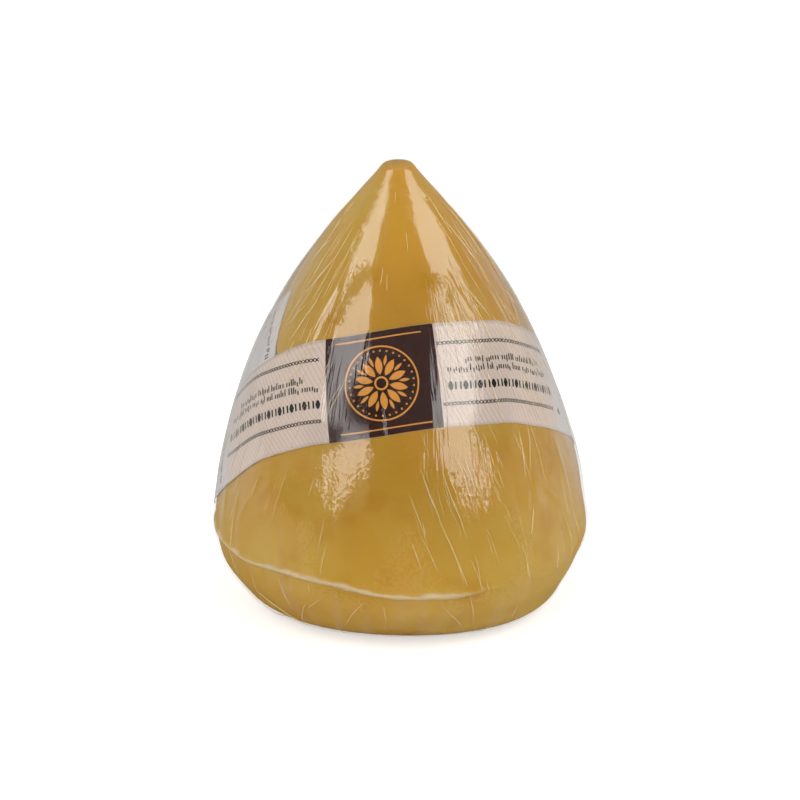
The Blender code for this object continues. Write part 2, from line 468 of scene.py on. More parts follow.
# %% Unevenness for any skin
LAY_RADIUS = 60.0
WAVE_SHARES = (0.6, 1.5)  # how close the waves of a noise lie, as shares of its own size


def lay_of(points):
    """Where a point lies on the wrap, in millimetres: its way round on an even cylinder, and its height.
    A pattern that reads this narrows towards the tip, as pulled film does."""
    x, y, z = np.moveaxis(points / MM, -1, 0)
    round_way = np.arctan2(x, -y)
    return np.stack((LAY_RADIUS * np.sin(round_way), -LAY_RADIUS * np.cos(round_way), z), axis=-1)


def soft_noise(points, size, seed, waves=14):
    """A smooth field of about -1 to 1 with lumps of this size, made of plane waves in random directions."""
    draw = np.random.default_rng(seed)
    ways = unit(draw.normal(size=(waves, 3))) * draw.uniform(*WAVE_SHARES, (waves, 1)) * 2 * math.pi / size
    phases = draw.uniform(0.0, 2 * math.pi, waves)
    return np.sin(points @ ways.T + phases).sum(axis=-1) / math.sqrt(waves)


trial = soft_noise(bare_drop(fine_levels, fine_levels), 5.0, 1)
print(f"such a noise runs from {trial.min():.2f} to {trial.max():.2f}")

# %% [markdown]
# ## Patterns that several materials share
# Rind, paper and film all have cloudy patches at their own scale, and both the film and its pleats
# carry fine crinkles. The same nodes could be repeated in each material. A node group with named
# sockets, built once, keeps them alike and each material short.

# %% The shared pattern groups
STREAK_NOISE = {"Detail": 1.0, "Roughness": 0.35, "Distortion": 0.4}


def vector_node(tree, operation, first, second):
    return place(tree, "ShaderNodeVectorMath", {0: first, 1: second}, operation=operation).outputs[0]


def combine(tree, x=0.0, y=0.0, z=0.0):
    return place(tree, "ShaderNodeCombineXYZ", {"X": x, "Y": y, "Z": z}).outputs[0]


def pattern_group(name, inputs, output):
    """An empty shader group. An input without a value of its own is a vector, the others are floats."""
    group = bpy.data.node_groups.new(name, "ShaderNodeTree")
    for title, value in inputs.items():
        kind = "NodeSocketVector" if value is None else "NodeSocketFloat"
        socket = group.interface.new_socket(title, in_out="INPUT", socket_type=kind)
        if value is not None:
            socket.default_value = value
    group.interface.new_socket(output, in_out="OUTPUT", socket_type="NodeSocketFloat")
    return group, group.nodes.new("NodeGroupInput").outputs, group.nodes.new("NodeGroupOutput").inputs


def noise_of(group, vector, size, **sockets):
    """Noise with lumps of this size."""
    scale = math_node(group, "DIVIDE", 1.0, size)
    return place(group, "ShaderNodeTexNoise", {"Vector": vector, "Scale": scale, **sockets}).outputs["Fac"]


def build_clouds():
    """Soft patches: Low and High say which part of the noise turns from 0 to 1."""
    inputs = {"Vector": None, "Size": 0.02, "Low": 0.4, "High": 0.6}
    group, given, made = pattern_group("clouds", inputs, "Mask")
    noise = noise_of(group, given["Vector"], given["Size"], Detail=3.0)
    sockets = {"Value": noise, "From Min": given["Low"], "From Max": given["High"]}
    mask = place(group, "ShaderNodeMapRange", sockets, interpolation_type="SMOOTHSTEP")
    group.links.new(mask.outputs["Result"], made["Mask"])
    return group


def build_crinkles():
    """Fine creases in pulled film: streaks that run up the side and crowd towards the tip, and pebbles."""
    inputs = {"Lay": None, "Place": None, "Streak": 1.7, "Stretch": 0.09, "Pebble": 0.0009}
    group, given, made = pattern_group("crinkles", {**inputs, "Streaks": 1.0, "Pebbles": 0.3}, "Height")
    pulled = vector_node(group, "MULTIPLY", given["Lay"], combine(group, 1.0, 1.0, given["Stretch"]))
    streak = noise_of(group, pulled, given["Streak"], **STREAK_NOISE)
    ridge = math_node(group, "ABSOLUTE", math_node(group, "SUBTRACT", streak, 0.5))
    ridge = math_node(group, "MULTIPLY", ridge, given["Streaks"])
    pebble = noise_of(group, given["Place"], given["Pebble"], Detail=1.0)
    pebble = math_node(group, "MULTIPLY", pebble, given["Pebbles"])
    group.links.new(math_node(group, "ADD", ridge, pebble), made["Height"])
    return group


clouds = build_clouds()
crinkles = build_crinkles()
print("shared patterns:", clouds.name, crinkles.name)


# %% Using a pattern in a material
def use_group(tree, group, sockets):
    node = tree.nodes.new("ShaderNodeGroup")
    node.node_tree = group
    for name, value in sockets.items():
        if isinstance(value, bpy.types.NodeSocket):
            tree.links.new(value, node.inputs[name])
        else:
            node.inputs[name].default_value = value
    return node.outputs[0]


def cloudy(tree, vector, size, low, high):
    return use_group(tree, clouds, {"Vector": vector, "Size": size, "Low": low, "High": high})


def object_place(tree):
    return place(tree, "ShaderNodeTexCoord").outputs["Object"]


def attribute(tree, name, output="Fac"):
    return place(tree, "ShaderNodeAttribute", attribute_name=name).outputs[output]


def relief_normal(tree, height, distance, strength=1.0):
    """The normals of a surface that this height stands out of."""
    sockets = {"Height": height, "Distance": distance, "Strength": strength}
    return place(tree, "ShaderNodeBump", sockets).outputs["Normal"]


# %% [markdown]
# ## The cheese
# The rind is one smooth body with a low ridge where the two halves of its mould met. The measured
# solid could be copied for it, but that runs out to the film. We skin the drop a little inside it
# instead, and further in at the sides, where the film stands off. That gives the wrapped cheese its
# pale rim. Rows lie closer together at the ridge, so that it stays sharp.

# %% The cheese's skin
CHEESE_ROWS, CHEESE_COLUMNS = 220, 360
CHEESE_SUNK = 0.32  # how far the rind lies inside the film
# (angle, level, spread of levels, how much further in)
RIM_GAPS = ((88.0, 40.0, 34.0, 0.3), (-88.0, 42.0, 40.0, 0.3), (-60.0, 4.0, 8.0, 0.4))
RIND_LUMPS, RIND_LUMP_SIZE, RIND_SEED = 0.06, 16.0, 3
SEAM_CREST = 0.82  # half the height of the mould line's pale crest
PALE_END = (30.0, 14.0)  # the pale crest stops between these angles, a little before the ridge does
CREST_WANDERS = ((0.25, 7.0, 8), (0.15, 2.5, 9))  # (how far up and down, size of the lumps, seed)
CREST_SWELLS = (0.35, 9.0, 10)  # how much of its height, and again size and seed
CREST_LOWER, CREST_UPPER = (-0.2, 0.1), (0.7, -0.3)  # over which millimetres its two edges fade
# Darker, more amber spots: (angle, level, spread round, spread up, how strong). The ones at the back are
# where the smoke lay thicker. The ones down the front middle, at the tip and on the upper right flank are
# painted shade: the front middle lies between the two side lamps, and the tip and the upper right flank are
# darkened against the strong light from above and from the right softbox.
SMOKE_AND_SHADE_SPOTS = (
    (4.0, 105.0, 24.0, 60.0, 1.1), (0.0, 54.0, 26.0, 16.0, 0.2), (55.0, 122.0, 34.0, 16.0, 0.5),
    (0.0, 146.0, 90.0, 5.0, 0.8), (75.0, 100.0, 18.0, 30.0, 0.9), (-110.0, 70.0, 26.0, 40.0, 0.7),
    (130.0, 60.0, 30.0, 36.0, 0.8), (-165.0, 95.0, 24.0, 40.0, 0.6),
)


def pale_line(points, levels):
    """1 on the mould line's pale crest, which wanders and swells a little, with a sharp lower edge."""
    where = points / MM
    wander = sum(far * soft_noise(where, size, seed) for far, size, seed in CREST_WANDERS)
    above = levels - SEAM_HEIGHT + wander
    swell, size, seed = CREST_SWELLS
    wide = SEAM_CREST * (1.0 + swell * soft_noise(where, size, seed))
    lower = smoothstep(CREST_LOWER[0] - SEAM_CREST, CREST_LOWER[1] - SEAM_CREST, above)
    return lower * smoothstep(wide + CREST_UPPER[0], wide + CREST_UPPER[1], above)


def build_cheese(material):
    angles = -180.0 + 360.0 * np.arange(CHEESE_COLUMNS) / CHEESE_COLUMNS
    levels = levels_closer_at(CHEESE_ROWS, SEAM_HEIGHT)
    angles, levels = np.broadcast_arrays(angles[None, :], levels[:, None])
    rings = surface(angles, levels, -CHEESE_SUNK - sides_at(angles, levels, RIM_GAPS))
    lumps = RIND_LUMPS * MM * soft_noise(rings / MM, RIND_LUMP_SIZE, RIND_SEED)
    rings += unit(rings) * lumps[..., None]
    rings[..., 2] = np.maximum(rings[..., 2], CHEESE_SUNK * MM / 2)
    piece = add_mesh("cheese_body", *close_skin(rings), material)
    crest = seam_strength(angles) * smoothstep(*PALE_END, angles) * pale_line(rings, levels)
    give_field(piece, "seam", crest)
    # Smoke patches and painted shade: the front middle, the tip and the upper right flank are darkened.
    give_field(piece, "smoke_and_shade", spots_at(angles, levels, SMOKE_AND_SHADE_SPOTS))
    return piece


# %% [markdown]
# A light smoking leaves a thin waxy rind, from straw to amber, with darker patches where the smoke
# lay. One flat colour would look like plastic, and a painted picture would show its dots close to.
# So two sizes of cloudy patches mix three colours, and the numbers stored on the skin darken the smoked spots
# and the spots of painted shade, and whiten the mould line. A little light goes in under the surface and
# comes out warmer, as it does in fat, which softens the shadows.

# %% The rind's finish
AMBER = (0.418, 0.214, 0.0155, 1.0)
STRAW = (0.435, 0.273, 0.048, 1.0)
SMOKE = (0.36, 0.155, 0.01, 1.0)
SEAM_PALE = (0.49, 0.37, 0.21, 1.0)
SMOKE_MOST = 0.45
# Cloudy patches: (size in metres, and from where to where their noise turns from 0 to 1)
LIGHT_PATCHES, SMOKE_PATCHES, RIND_GRAIN = (0.035, 0.42, 0.62), (0.014, 0.5, 0.75), (0.0012, 0.2, 0.8)
LIGHT_GOES_IN, LIGHT_COLOURS = 0.004, (1.0, 0.55, 0.15)  # how far, and the share of red, green and blue


def rind_material():
    material, tree, shader = new_material(
        "smoked_rind",
        Roughness=0.6,
        Specular_IOR_Level=0.1,
        Subsurface_Weight=0.12,
        Subsurface_Scale=LIGHT_GOES_IN,
        Subsurface_Radius=LIGHT_COLOURS,
    )
    here = object_place(tree)
    patches = cloudy(tree, here, *LIGHT_PATCHES)
    smoke = cloudy(tree, here, *SMOKE_PATCHES)
    lighter = math_node(tree, "ADD", math_node(tree, "MULTIPLY", patches, 0.5), 0.5)
    # The stored spots turn the colour towards amber: as smoke at the back, and as painted shade at the front,
    # the tip and the upper right flank.
    lighter = math_node(tree, "SUBTRACT", lighter, attribute(tree, "smoke_and_shade"), clamp=True)
    colour = mix_colours(tree, lighter, AMBER, STRAW)
    colour = mix_colours(tree, math_node(tree, "MULTIPLY", smoke, SMOKE_MOST), colour, SMOKE)
    colour = mix_colours(tree, attribute(tree, "seam"), colour, SEAM_PALE)
    grain = cloudy(tree, here, *RIND_GRAIN)
    feed(tree, shader, Base_Color=colour, Normal=relief_normal(tree, grain, 0.00005, 0.5))
    return material


cheese = build_cheese(rind_material())
print("cheese:", len(cheese.data.polygons), "faces")

# %% [markdown]
# ## The label band
# One straight strip of paper is wound round a cone-like body, so it climbs over the front and dips
# at the back, and its two ends cross at the left. A ring cut out between two slanted planes would
# bend the paper in its own plane, which paper doesn't do. So a point of the strip is found by
# walking from the strip's middle line, square to its run, over the surface of the cheese.

# %% The band's sizes and its points
BAND_PATH = (  # (angle, level)
    (-99.0, 44.0), (-80.0, 56.8), (-59.0, 72.0), (-30.0, 83.0), (16.0, 88.9), (45.0, 86.7),
    (67.0, 80.6), (90.0, 70.9), (120.0, 56.5), (170.0, 48.0), (215.0, 52.0), (240.0, 62.0),
    (264.0, 76.0), (293.5, 93.0),
)
BAND_START, BAND_END = BAND_PATH[0][0], BAND_PATH[-1][0]
BAND_WIDTH = 32.8
PINCH_ANGLE, PINCH_SPREAD, PINCH = -72.0, 24.0, 2.2  # the film creases the paper narrower here
WALK_STEPS, STATIONS = 6, 520
band_height = curve_through(BAND_PATH)


def dot(first, second):
    return (first * second).sum(axis=-1)


def band_point(angle, across, lift=0.0):
    """Points of the strip: angle is where along its run, across is millimetres from its middle line."""
    angle, across, lift = np.broadcast_arrays(np.asarray(angle, float), across, lift)
    level = band_height(angle)
    before, after = angle - SLOPE_ANGLE, angle + SLOPE_ANGLE
    ahead = surface(after, band_height(after)) - surface(before, band_height(before))
    for _ in range(WALK_STEPS):
        round_way, up_way = slopes(surface, angle, level)
        normal = unit(np.cross(round_way, up_way))
        square = unit(np.cross(normal, ahead - normal * dot(normal, ahead)[..., None]))
        step = across / WALK_STEPS * MM
        angle = angle + step * dot(square, round_way) / dot(round_way, round_way)
        level = level + step * dot(square, up_way) / dot(up_way, up_way)
    return surface(angle, level, lift)


stations = np.linspace(BAND_START, BAND_END, STATIONS)
steps = np.linalg.norm(np.diff(band_point(stations, 0.0), axis=0), axis=1)
run = np.concatenate(([0.0], np.cumsum(steps))) / MM


def run_at(angle):
    """How many millimetres of strip lie between its left end and this angle."""
    return np.interp(angle, stations, run)


print(f"the strip is {run[-1]:.0f} mm long")

# %% [markdown]
# The strip is thin, but it is a real sheet with two faces and four edges. A single face would
# vanish where it is seen edge on, so we build both faces as grids and wall their borders. Its UV
# map is in real sizes: one unit is the sheet size below. The paper's own pattern and everything
# that is printed on it are laid out on that map.

# %% The paper strip
BAND_STATIONS, BAND_COLUMNS = 560, 22
PAPER_SUNK, PAPER_THICK, PAPER_GAP = 0.3, 0.16, 0.06
OVER_TAIL = (-8.0, -42.0)  # the left end rises between these angles to pass over the tail
SHEET_MM = 420.0  # one unit of the strip's UV map
SHEET_MIDDLE = (0.25, 0.5)  # where the dark panel's middle lies on that map
PANEL_START, PANEL_END = -29.0, 17.0  # the dark panel's edges along the run, in degrees
PANEL_MIDDLE = (run_at(PANEL_START) + run_at(PANEL_END)) / 2
# Shallow buckles where the film has squeezed the paper: (millimetres from the panel, width, how high)
BUCKLES = ((-60.5, 0.7, 0.12), (-55.0, 1.6, 0.1), (-18.9, 0.6, 0.07), (47.0, 1.2, 0.08), (53.0, 0.9, 0.1))
print(f"the panel's middle is {PANEL_MIDDLE:.1f} mm from the strip's left end")


def sheet_faces(rows, columns):
    """Faces of a closed sheet: an outer grid, an inner one behind it, and the walls between them."""
    outer = grid_faces(rows, columns)
    inner = outer + rows * columns
    index = np.arange(rows * columns).reshape(rows, columns)
    border = np.concatenate((index[0, :-1], index[:-1, -1], index[-1, :0:-1], index[:0:-1, 0]))
    after = np.roll(border, -1)
    walls = np.stack((border, after, after + rows * columns, border + rows * columns), axis=-1)
    return np.concatenate((outer[:, ::-1], inner, walls))


def give_uv(piece, uv):
    """A UV map from one pair of numbers for each point."""
    layer = piece.data.uv_layers.new(name="UVMap")
    corners = np.empty(len(piece.data.loops), np.int32)
    piece.data.loops.foreach_get("vertex_index", corners)
    layer.data.foreach_set("uv", np.asarray(uv, np.float32)[corners].ravel())


def band_grid():
    """(angles, millimetres along from the panel's middle, millimetres across) of the strip's grid."""
    angles = np.linspace(BAND_START, BAND_END, BAND_STATIONS)[:, None]
    width = BAND_WIDTH - PINCH * bump(angles, PINCH_ANGLE, PINCH_SPREAD)
    across = width * np.linspace(-0.5, 0.5, BAND_COLUMNS)[None, :]
    return np.broadcast_arrays(angles, run_at(angles) - PANEL_MIDDLE, across)


def band_face(raised):
    """The points of the strip's grid, this far above the paper's inner face."""
    angles, along, across = band_grid()
    over = (PAPER_THICK + PAPER_GAP) * smoothstep(*OVER_TAIL, angles)
    buckles = sum(high * bump(along, middle, width) for middle, width, high in BUCKLES)
    return band_point(angles, across, over - PAPER_SUNK + buckles + raised)


def band_uv():
    _, along, across = band_grid()
    return np.stack((along, across), axis=-1).reshape(-1, 2) / SHEET_MM + SHEET_MIDDLE


def build_paper(material):
    points = np.concatenate([band_face(raised).reshape(-1, 3) for raised in (PAPER_THICK, 0.0)])
    piece = add_mesh("label_paper", points, sheet_faces(BAND_STATIONS, BAND_COLUMNS), material)
    give_uv(piece, np.tile(band_uv(), (2, 1)))
    return piece


def build_guide():
    """The strip's outer face alone, which the print is laid on. It is taken away afterwards."""
    faces = grid_faces(BAND_STATIONS, BAND_COLUMNS)[:, ::-1]
    guide = add_mesh("paper_guide", band_face(PAPER_THICK), faces, None)
    give_uv(guide, band_uv())
    return guide


# %% [markdown]
# The paper is cream on either side of the dark panel, with fine slanting lines printed over it, and
# plain white further round. Lines this fine would take thousands of strips of ink. So they are
# worked out from the UV map: a wave across the lines' direction gives the hatching, and limits along
# the strip say where it starts and stops.

# %% The paper's finish
CREAM = (0.56, 0.46, 0.39, 1.0)
CREAM_LINE = (0.49, 0.385, 0.315, 1.0)
PAPER_WHITE = (0.53, 0.49, 0.47, 1.0)
HATCH_PITCH, HATCH_SLANT = 1.5, 62.0  # millimetres, and degrees from the strip's run
HATCH_ENDS = (-72.0, 72.0)  # millimetres from the panel's middle
HATCH_THIN = 0.1  # the more, the thinner the lines
TIRED_MOST = 0.12  # how much the paper darkens in patches
TIRED_PATCHES, PAPER_FIBRE = (0.02, 0.3, 0.8), (0.0007, 0.2, 0.8)


def flat_place(tree):
    """Where a point of the paper lies, in millimetres from the panel's middle."""
    uv = place(tree, "ShaderNodeUVMap", uv_map="UVMap").outputs["UV"]
    offset = tuple(-SHEET_MM * share for share in (*SHEET_MIDDLE, 0.0))
    sockets = {"Vector": uv, "Location": offset, "Scale": (SHEET_MM, SHEET_MM, 1.0)}
    mapped = place(tree, "ShaderNodeMapping", sockets).outputs["Vector"]
    return place(tree, "ShaderNodeSeparateXYZ", {0: mapped}).outputs


def paper_material():
    material, tree, shader = new_material("label_paper", Roughness=0.6, Specular_IOR_Level=0.25)
    flat, here = flat_place(tree), object_place(tree)
    slant, waves = math.radians(HATCH_SLANT), 2 * math.pi / HATCH_PITCH
    rise = math_node(tree, "MULTIPLY", flat["X"], waves * math.sin(slant))
    phase = math_node(tree, "ADD", rise, math_node(tree, "MULTIPLY", flat["Y"], waves * math.cos(slant)))
    line = math_node(tree, "SUBTRACT", math_node(tree, "SINE", phase), HATCH_THIN, clamp=True)
    after = math_node(tree, "GREATER_THAN", flat["X"], HATCH_ENDS[0])
    before = math_node(tree, "LESS_THAN", flat["X"], HATCH_ENDS[1])
    colour = mix_colours(tree, line, CREAM, CREAM_LINE)
    colour = mix_colours(tree, math_node(tree, "MULTIPLY", after, before), PAPER_WHITE, colour)
    tired = math_node(tree, "MULTIPLY", cloudy(tree, here, *TIRED_PATCHES), TIRED_MOST)
    colour = mix_colours(tree, tired, colour, CREAM_LINE)
    fibre = cloudy(tree, here, *PAPER_FIBRE)
    feed(tree, shader, Base_Color=colour, Normal=relief_normal(tree, fibre, 0.00003, 0.6))
    return material


paper = build_paper(paper_material())
guide = build_guide()
print("paper:", len(paper.data.polygons), "faces")

# %% [markdown]
# ## Laying flat print on the strip
# Print could be a picture on the paper, but its edges would blur close to. So all print is drawn as
# flat shapes first, in metres, with the panel's middle at the origin. One Geometry Nodes group then
# bends them onto the paper: it looks each point's place up on the strip's UV map and moves the point
# there, out along the paper's normal by as much as it stood up in the flat.

# %% The group that lays flat things on a sheet
SHEET_INPUTS = {
    "Sheet": ("Object", None),
    "Sheet Size": ("Float", SHEET_MM * MM),
    "Middle": ("Vector", (*SHEET_MIDDLE, 0.0)),
}
DRESSED_INPUTS = {**SHEET_INPUTS, "Material": ("Material", None)}


def shape_tree(name, inputs):
    """A shape tree with a geometry input and output, and these named inputs."""
    tree = bpy.data.node_groups.new(name, "GeometryNodeTree")
    sockets = {"Geometry": ("Geometry", None), **inputs}
    for title, (kind, value) in sockets.items():
        socket = tree.interface.new_socket(title, in_out="INPUT", socket_type="NodeSocket" + kind)
        if value is not None:
            socket.default_value = value
    tree.interface.new_socket("Geometry", in_out="OUTPUT", socket_type="NodeSocketGeometry")
    return tree, tree.nodes.new("NodeGroupInput").outputs, tree.nodes.new("NodeGroupOutput").inputs


def stored_value(tree, name, kind="FLOAT"):
    """What is stored under this name on the points, corners or faces."""
    return place(tree, "GeometryNodeInputNamedAttribute", {"Name": name}, data_type=kind).outputs[0]


def build_lay_on_sheet():
    tree, given, made = shape_tree("lay_on_sheet", SHEET_INPUTS)
    sheet = place(tree, "GeometryNodeObjectInfo", {"Object": given["Sheet"]}).outputs["Geometry"]
    flat = place(tree, "GeometryNodeInputPosition").outputs[0]
    height = place(tree, "ShaderNodeSeparateXYZ", {0: flat}).outputs["Z"]
    size = combine(tree, given["Sheet Size"], given["Sheet Size"], 1.0)
    uv = vector_node(tree, "ADD", vector_node(tree, "DIVIDE", flat, size), given["Middle"])
    sockets = {"Mesh": sheet, "UV Map": stored_value(tree, "UVMap", "FLOAT_VECTOR"), "Sample UV": uv}
    found = []
    for field in ("GeometryNodeInputPosition", "GeometryNodeInputNormal"):
        sockets["Value"] = place(tree, field).outputs[0]
        sampled = place(tree, "GeometryNodeSampleUVSurface", sockets, data_type="FLOAT_VECTOR")
        found.append(sampled.outputs["Value"])
    out = place(tree, "ShaderNodeVectorMath", {0: found[1], "Scale": height}, operation="SCALE").outputs[0]
    moved = vector_node(tree, "ADD", found[0], out)
    laid = place(tree, "GeometryNodeSetPosition", {"Geometry": given["Geometry"], "Position": moved})
    tree.links.new(laid.outputs[0], made["Geometry"])
    return tree


lay_on_sheet = build_lay_on_sheet()


def lay(tree, geometry, given):
    """Places the laying group in a tree whose own inputs name the sheet, its size and its middle."""
    node = tree.nodes.new("GeometryNodeGroup")
    node.node_tree = lay_on_sheet
    tree.links.new(geometry, node.inputs["Geometry"])
    for title in SHEET_INPUTS:
        tree.links.new(given[title], node.inputs[title])
    return node.outputs["Geometry"]


def finish_shape(tree, geometry, given, made, smooth):
    """Ends a shape tree: real geometry instead of instances, its shading and its material."""
    real = place(tree, "GeometryNodeRealizeInstances", {0: geometry}).outputs[0]
    shaded = place(tree, "GeometryNodeSetShadeSmooth", {"Geometry": real, "Shade Smooth": smooth}).outputs[0]
    dressed = place(tree, "GeometryNodeSetMaterial", {"Geometry": shaded, "Material": given["Material"]})
    tree.links.new(dressed.outputs[0], made["Geometry"])


def grow(name, tree, inputs, start=None):
    """Runs a shape tree once and keeps what it makes as a plain mesh object."""
    holder = add_object("holder", start or bpy.data.meshes.new("holder"))
    modifier = holder.modifiers.new("shape", "NODES")
    modifier.node_group = tree
    sockets = {item.name: item.identifier for item in tree.interface.items_tree if item.in_out == "INPUT"}
    for title, value in inputs.items():
        modifier[sockets[title]] = value
    bpy.context.view_layer.update()
    mesh = bpy.data.meshes.new_from_object(holder.evaluated_get(bpy.context.evaluated_depsgraph_get()))
    bpy.data.objects.remove(holder)
    mesh.name = name
    print(f"{name}: {len(mesh.polygons)} faces")
    return add_object(name, mesh)


# %% [markdown]
# ## Ink
# Ink is too thin to see from the side, but a face with no thickness at all would flicker into the
# paper. A closed strip 0.03 mm thick looks printed and is still a real body. A printed line is a
# strip with a middle line and a half width at each of its points, so bars, rings and petals all
# come from one function. Long strips get many points, because they have to bend with the paper.

# %% Strips of ink
INK_THICK = 0.03
PETAL_POINT = 0.02  # half the width that a petal's ends keep
WORN_PATCHES, WORN_MOST = (0.003, 0.5, 0.85), 0.5


def ink_strip(line, half_width, raised, first):
    """The points and faces of one closed strip. Its points are counted from the first."""
    line = np.array(line, float)
    looped = bool(np.allclose(line[0], line[-1]))
    if looped:
        line = line[:-1]
        ahead = unit(np.roll(line, -1, axis=0) - np.roll(line, 1, axis=0))
    else:
        ahead = unit(np.gradient(line, axis=0))
    half_widths = np.broadcast_to(half_width, len(line))[:, None]
    side = np.stack((-ahead[:, 1], ahead[:, 0]), axis=-1) * half_widths
    rings = np.zeros((len(line), 4, 3))
    rings[:, 0, :2] = rings[:, 3, :2] = line - side
    rings[:, 1, :2] = rings[:, 2, :2] = line + side
    rings[:, 2:, 2] = INK_THICK
    rings[..., 2] += raised
    last = first + 4 * (len(line) - 1)
    if looped:
        ends = [(last + k, last + (k + 1) % 4, first + (k + 1) % 4, first + k) for k in range(4)]
    else:
        ends = [tuple(first + k for k in (3, 2, 1, 0)), tuple(last + k for k in range(4))]
    return rings.reshape(-1, 3), [*grid_faces(len(line), 4, closed=True, first=first).tolist(), *ends]


def ink_mesh(name, strips, raised=0.0):
    """A flat mesh of closed strips, each given in millimetres as (points of its middle line, half width)."""
    points, faces, count = [], [], 0
    for line, half_width in strips:
        strip_points, strip_faces = ink_strip(line, half_width, raised, count)
        points.append(strip_points)
        faces += strip_faces
        count += len(strip_points)
    mesh = bpy.data.meshes.new(name)
    mesh.from_pydata((np.concatenate(points) * MM).tolist(), [], faces)
    return mesh


def bar(start, end, half_width, cells=1):
    return np.linspace(start, end, cells + 1), half_width


def ring(radius, half_width, cells):
    turn = np.linspace(0.0, 2 * math.pi, cells + 1)
    return radius * np.stack((np.cos(turn), np.sin(turn)), axis=-1), half_width


def petal(middle, turn, near, far, half_width, cells):
    """A pointed leaf shape that lies on a ray from the middle."""
    share = np.linspace(0.0, 1.0, cells + 1)
    ray = np.array((math.cos(turn), math.sin(turn)))
    line = np.array(middle) + ray * (near + (far - near) * share)[:, None]
    return line, np.maximum(half_width * np.sin(math.pi * share) ** 0.8, PETAL_POINT)


def ink_material(name, colour, roughness=0.45):
    """Printed colour, a little worn: the ink is thinner in small patches."""
    material, tree, shader = new_material(name, Roughness=roughness, Specular_IOR_Level=0.1)
    worn = math_node(tree, "MULTIPLY", cloudy(tree, object_place(tree), *WORN_PATCHES), WORN_MOST)
    pale = tuple(0.85 * c + 0.03 for c in colour)
    feed(tree, shader, Base_Color=mix_colours(tree, worn, (*colour, 1.0), (*pale, 1.0)))
    return material


def build_lay_ink():
    tree, given, made = shape_tree("lay_ink", DRESSED_INPUTS)
    finish_shape(tree, lay(tree, given["Geometry"], given), given, made, False)
    return tree


ink_tree = build_lay_ink()
on_paper = {"Sheet": guide}
print("ink is laid with the tree", ink_tree.name)

# %% [markdown]
# The dark panel is ink across the whole band. One wide strip would cut straight through the paper
# where that is curved, so the panel is made of narrow rows side by side. On it stands a plain
# rosette in orange and gold: a thin ring, a ring of beads, and petals round a middle. It is a common
# ornament, and its parts repeat round a circle, so loops over the turn make them.

# %% The dark panel and its rosette
PANEL_HALF = (run_at(PANEL_END) - run_at(PANEL_START)) / 2
PANEL_ROWS, PANEL_CELLS, PANEL_SHORT, ROW_OVERLAP = 16, 44, 0.15, 0.01
ROSETTE_RAISED = 0.045  # the gold ink lies over the dark
ROSETTE_RINGS = ((11.6, 0.26, 72), (1.9, 0.3, 32))  # (radius, half width, cells)
PETALS, PETAL, LEAF = 10, (2.7, 8.4, 1.15, 10), (5.6, 9.0, 0.5, 6)  # (near end, far end, half width, cells)
BEADS, BEADS_RADIUS, BEAD_HALF = 30, 10.2, 0.28
RULE_ACROSS, RULE_HALF_LENGTH, RULE_HALF, RULE_CELLS = 14.2, 14.5, 0.22, 40


def rosette():
    strips = [ring(*ring_sizes) for ring_sizes in ROSETTE_RINGS]
    for k in range(PETALS):
        turn = 2 * math.pi * k / PETALS + math.pi / 2
        strips.append(petal((0.0, 0.0), turn, *PETAL))
        strips.append(petal((0.0, 0.0), turn + math.pi / PETALS, *LEAF))
    for k in range(BEADS):
        turn = 2 * math.pi * k / BEADS
        bead = BEADS_RADIUS * np.array((math.cos(turn), math.sin(turn)))
        strips.append(bar(bead - (BEAD_HALF, 0.0), bead + (BEAD_HALF, 0.0), BEAD_HALF))
    return strips


def panel_rules():
    """Two gold lines along the panel, above and below the rosette."""
    reach, strips = RULE_HALF_LENGTH, []
    for across in (-RULE_ACROSS, RULE_ACROSS):
        strips.append(bar((-reach, across), (reach, across), RULE_HALF, RULE_CELLS))
    return strips


def panel_rows():
    """The panel as rows of ink side by side, so that it bends across the band as well as along it."""
    width = (BAND_WIDTH - PANEL_SHORT) / PANEL_ROWS
    middles = [(k + 0.5 - PANEL_ROWS / 2) * width for k in range(PANEL_ROWS)]
    return [bar((-PANEL_HALF, m), (PANEL_HALF, m), width / 2 + ROW_OVERLAP, PANEL_CELLS) for m in middles]


dark_ink = ink_material("dark_brown_ink", (0.034, 0.009, 0.004), 0.5)
gold_ink = ink_material("gold_ink", (0.62, 0.27, 0.05))
panel = grow("print_panel", ink_tree, {**on_paper, "Material": dark_ink}, ink_mesh("panel", panel_rows()))
ornament = ink_mesh("ornament", rosette() + panel_rules(), ROSETTE_RAISED)
emblem = grow("print_rosette", ink_tree, {**on_paper, "Material": gold_ink}, ornament)

# %% [markdown]
# Two borders of small crosses run along each cream part. Drawing them all as strips would work, but
# a row of like things is what instancing is for: the tree makes points at an even pitch, puts one
# cross on each, and lays the row on the paper.

# %% The borders of crosses
CROSS_PITCH, CROSS_HALF, CROSS_ARM = 1.35, 0.56, 0.17
CROSSES_IN_ROW = 38
LEFT_TURN = -3.6  # the print left of the panel runs a little downhill along the strip, in degrees
# Where each row starts, along and across, and its turn
CROSS_ROWS = ((-71.0, 13.3, LEFT_TURN), (-71.0, -6.1, LEFT_TURN), (19.3, 10.0, 0.0), (19.3, -9.2, 0.0))


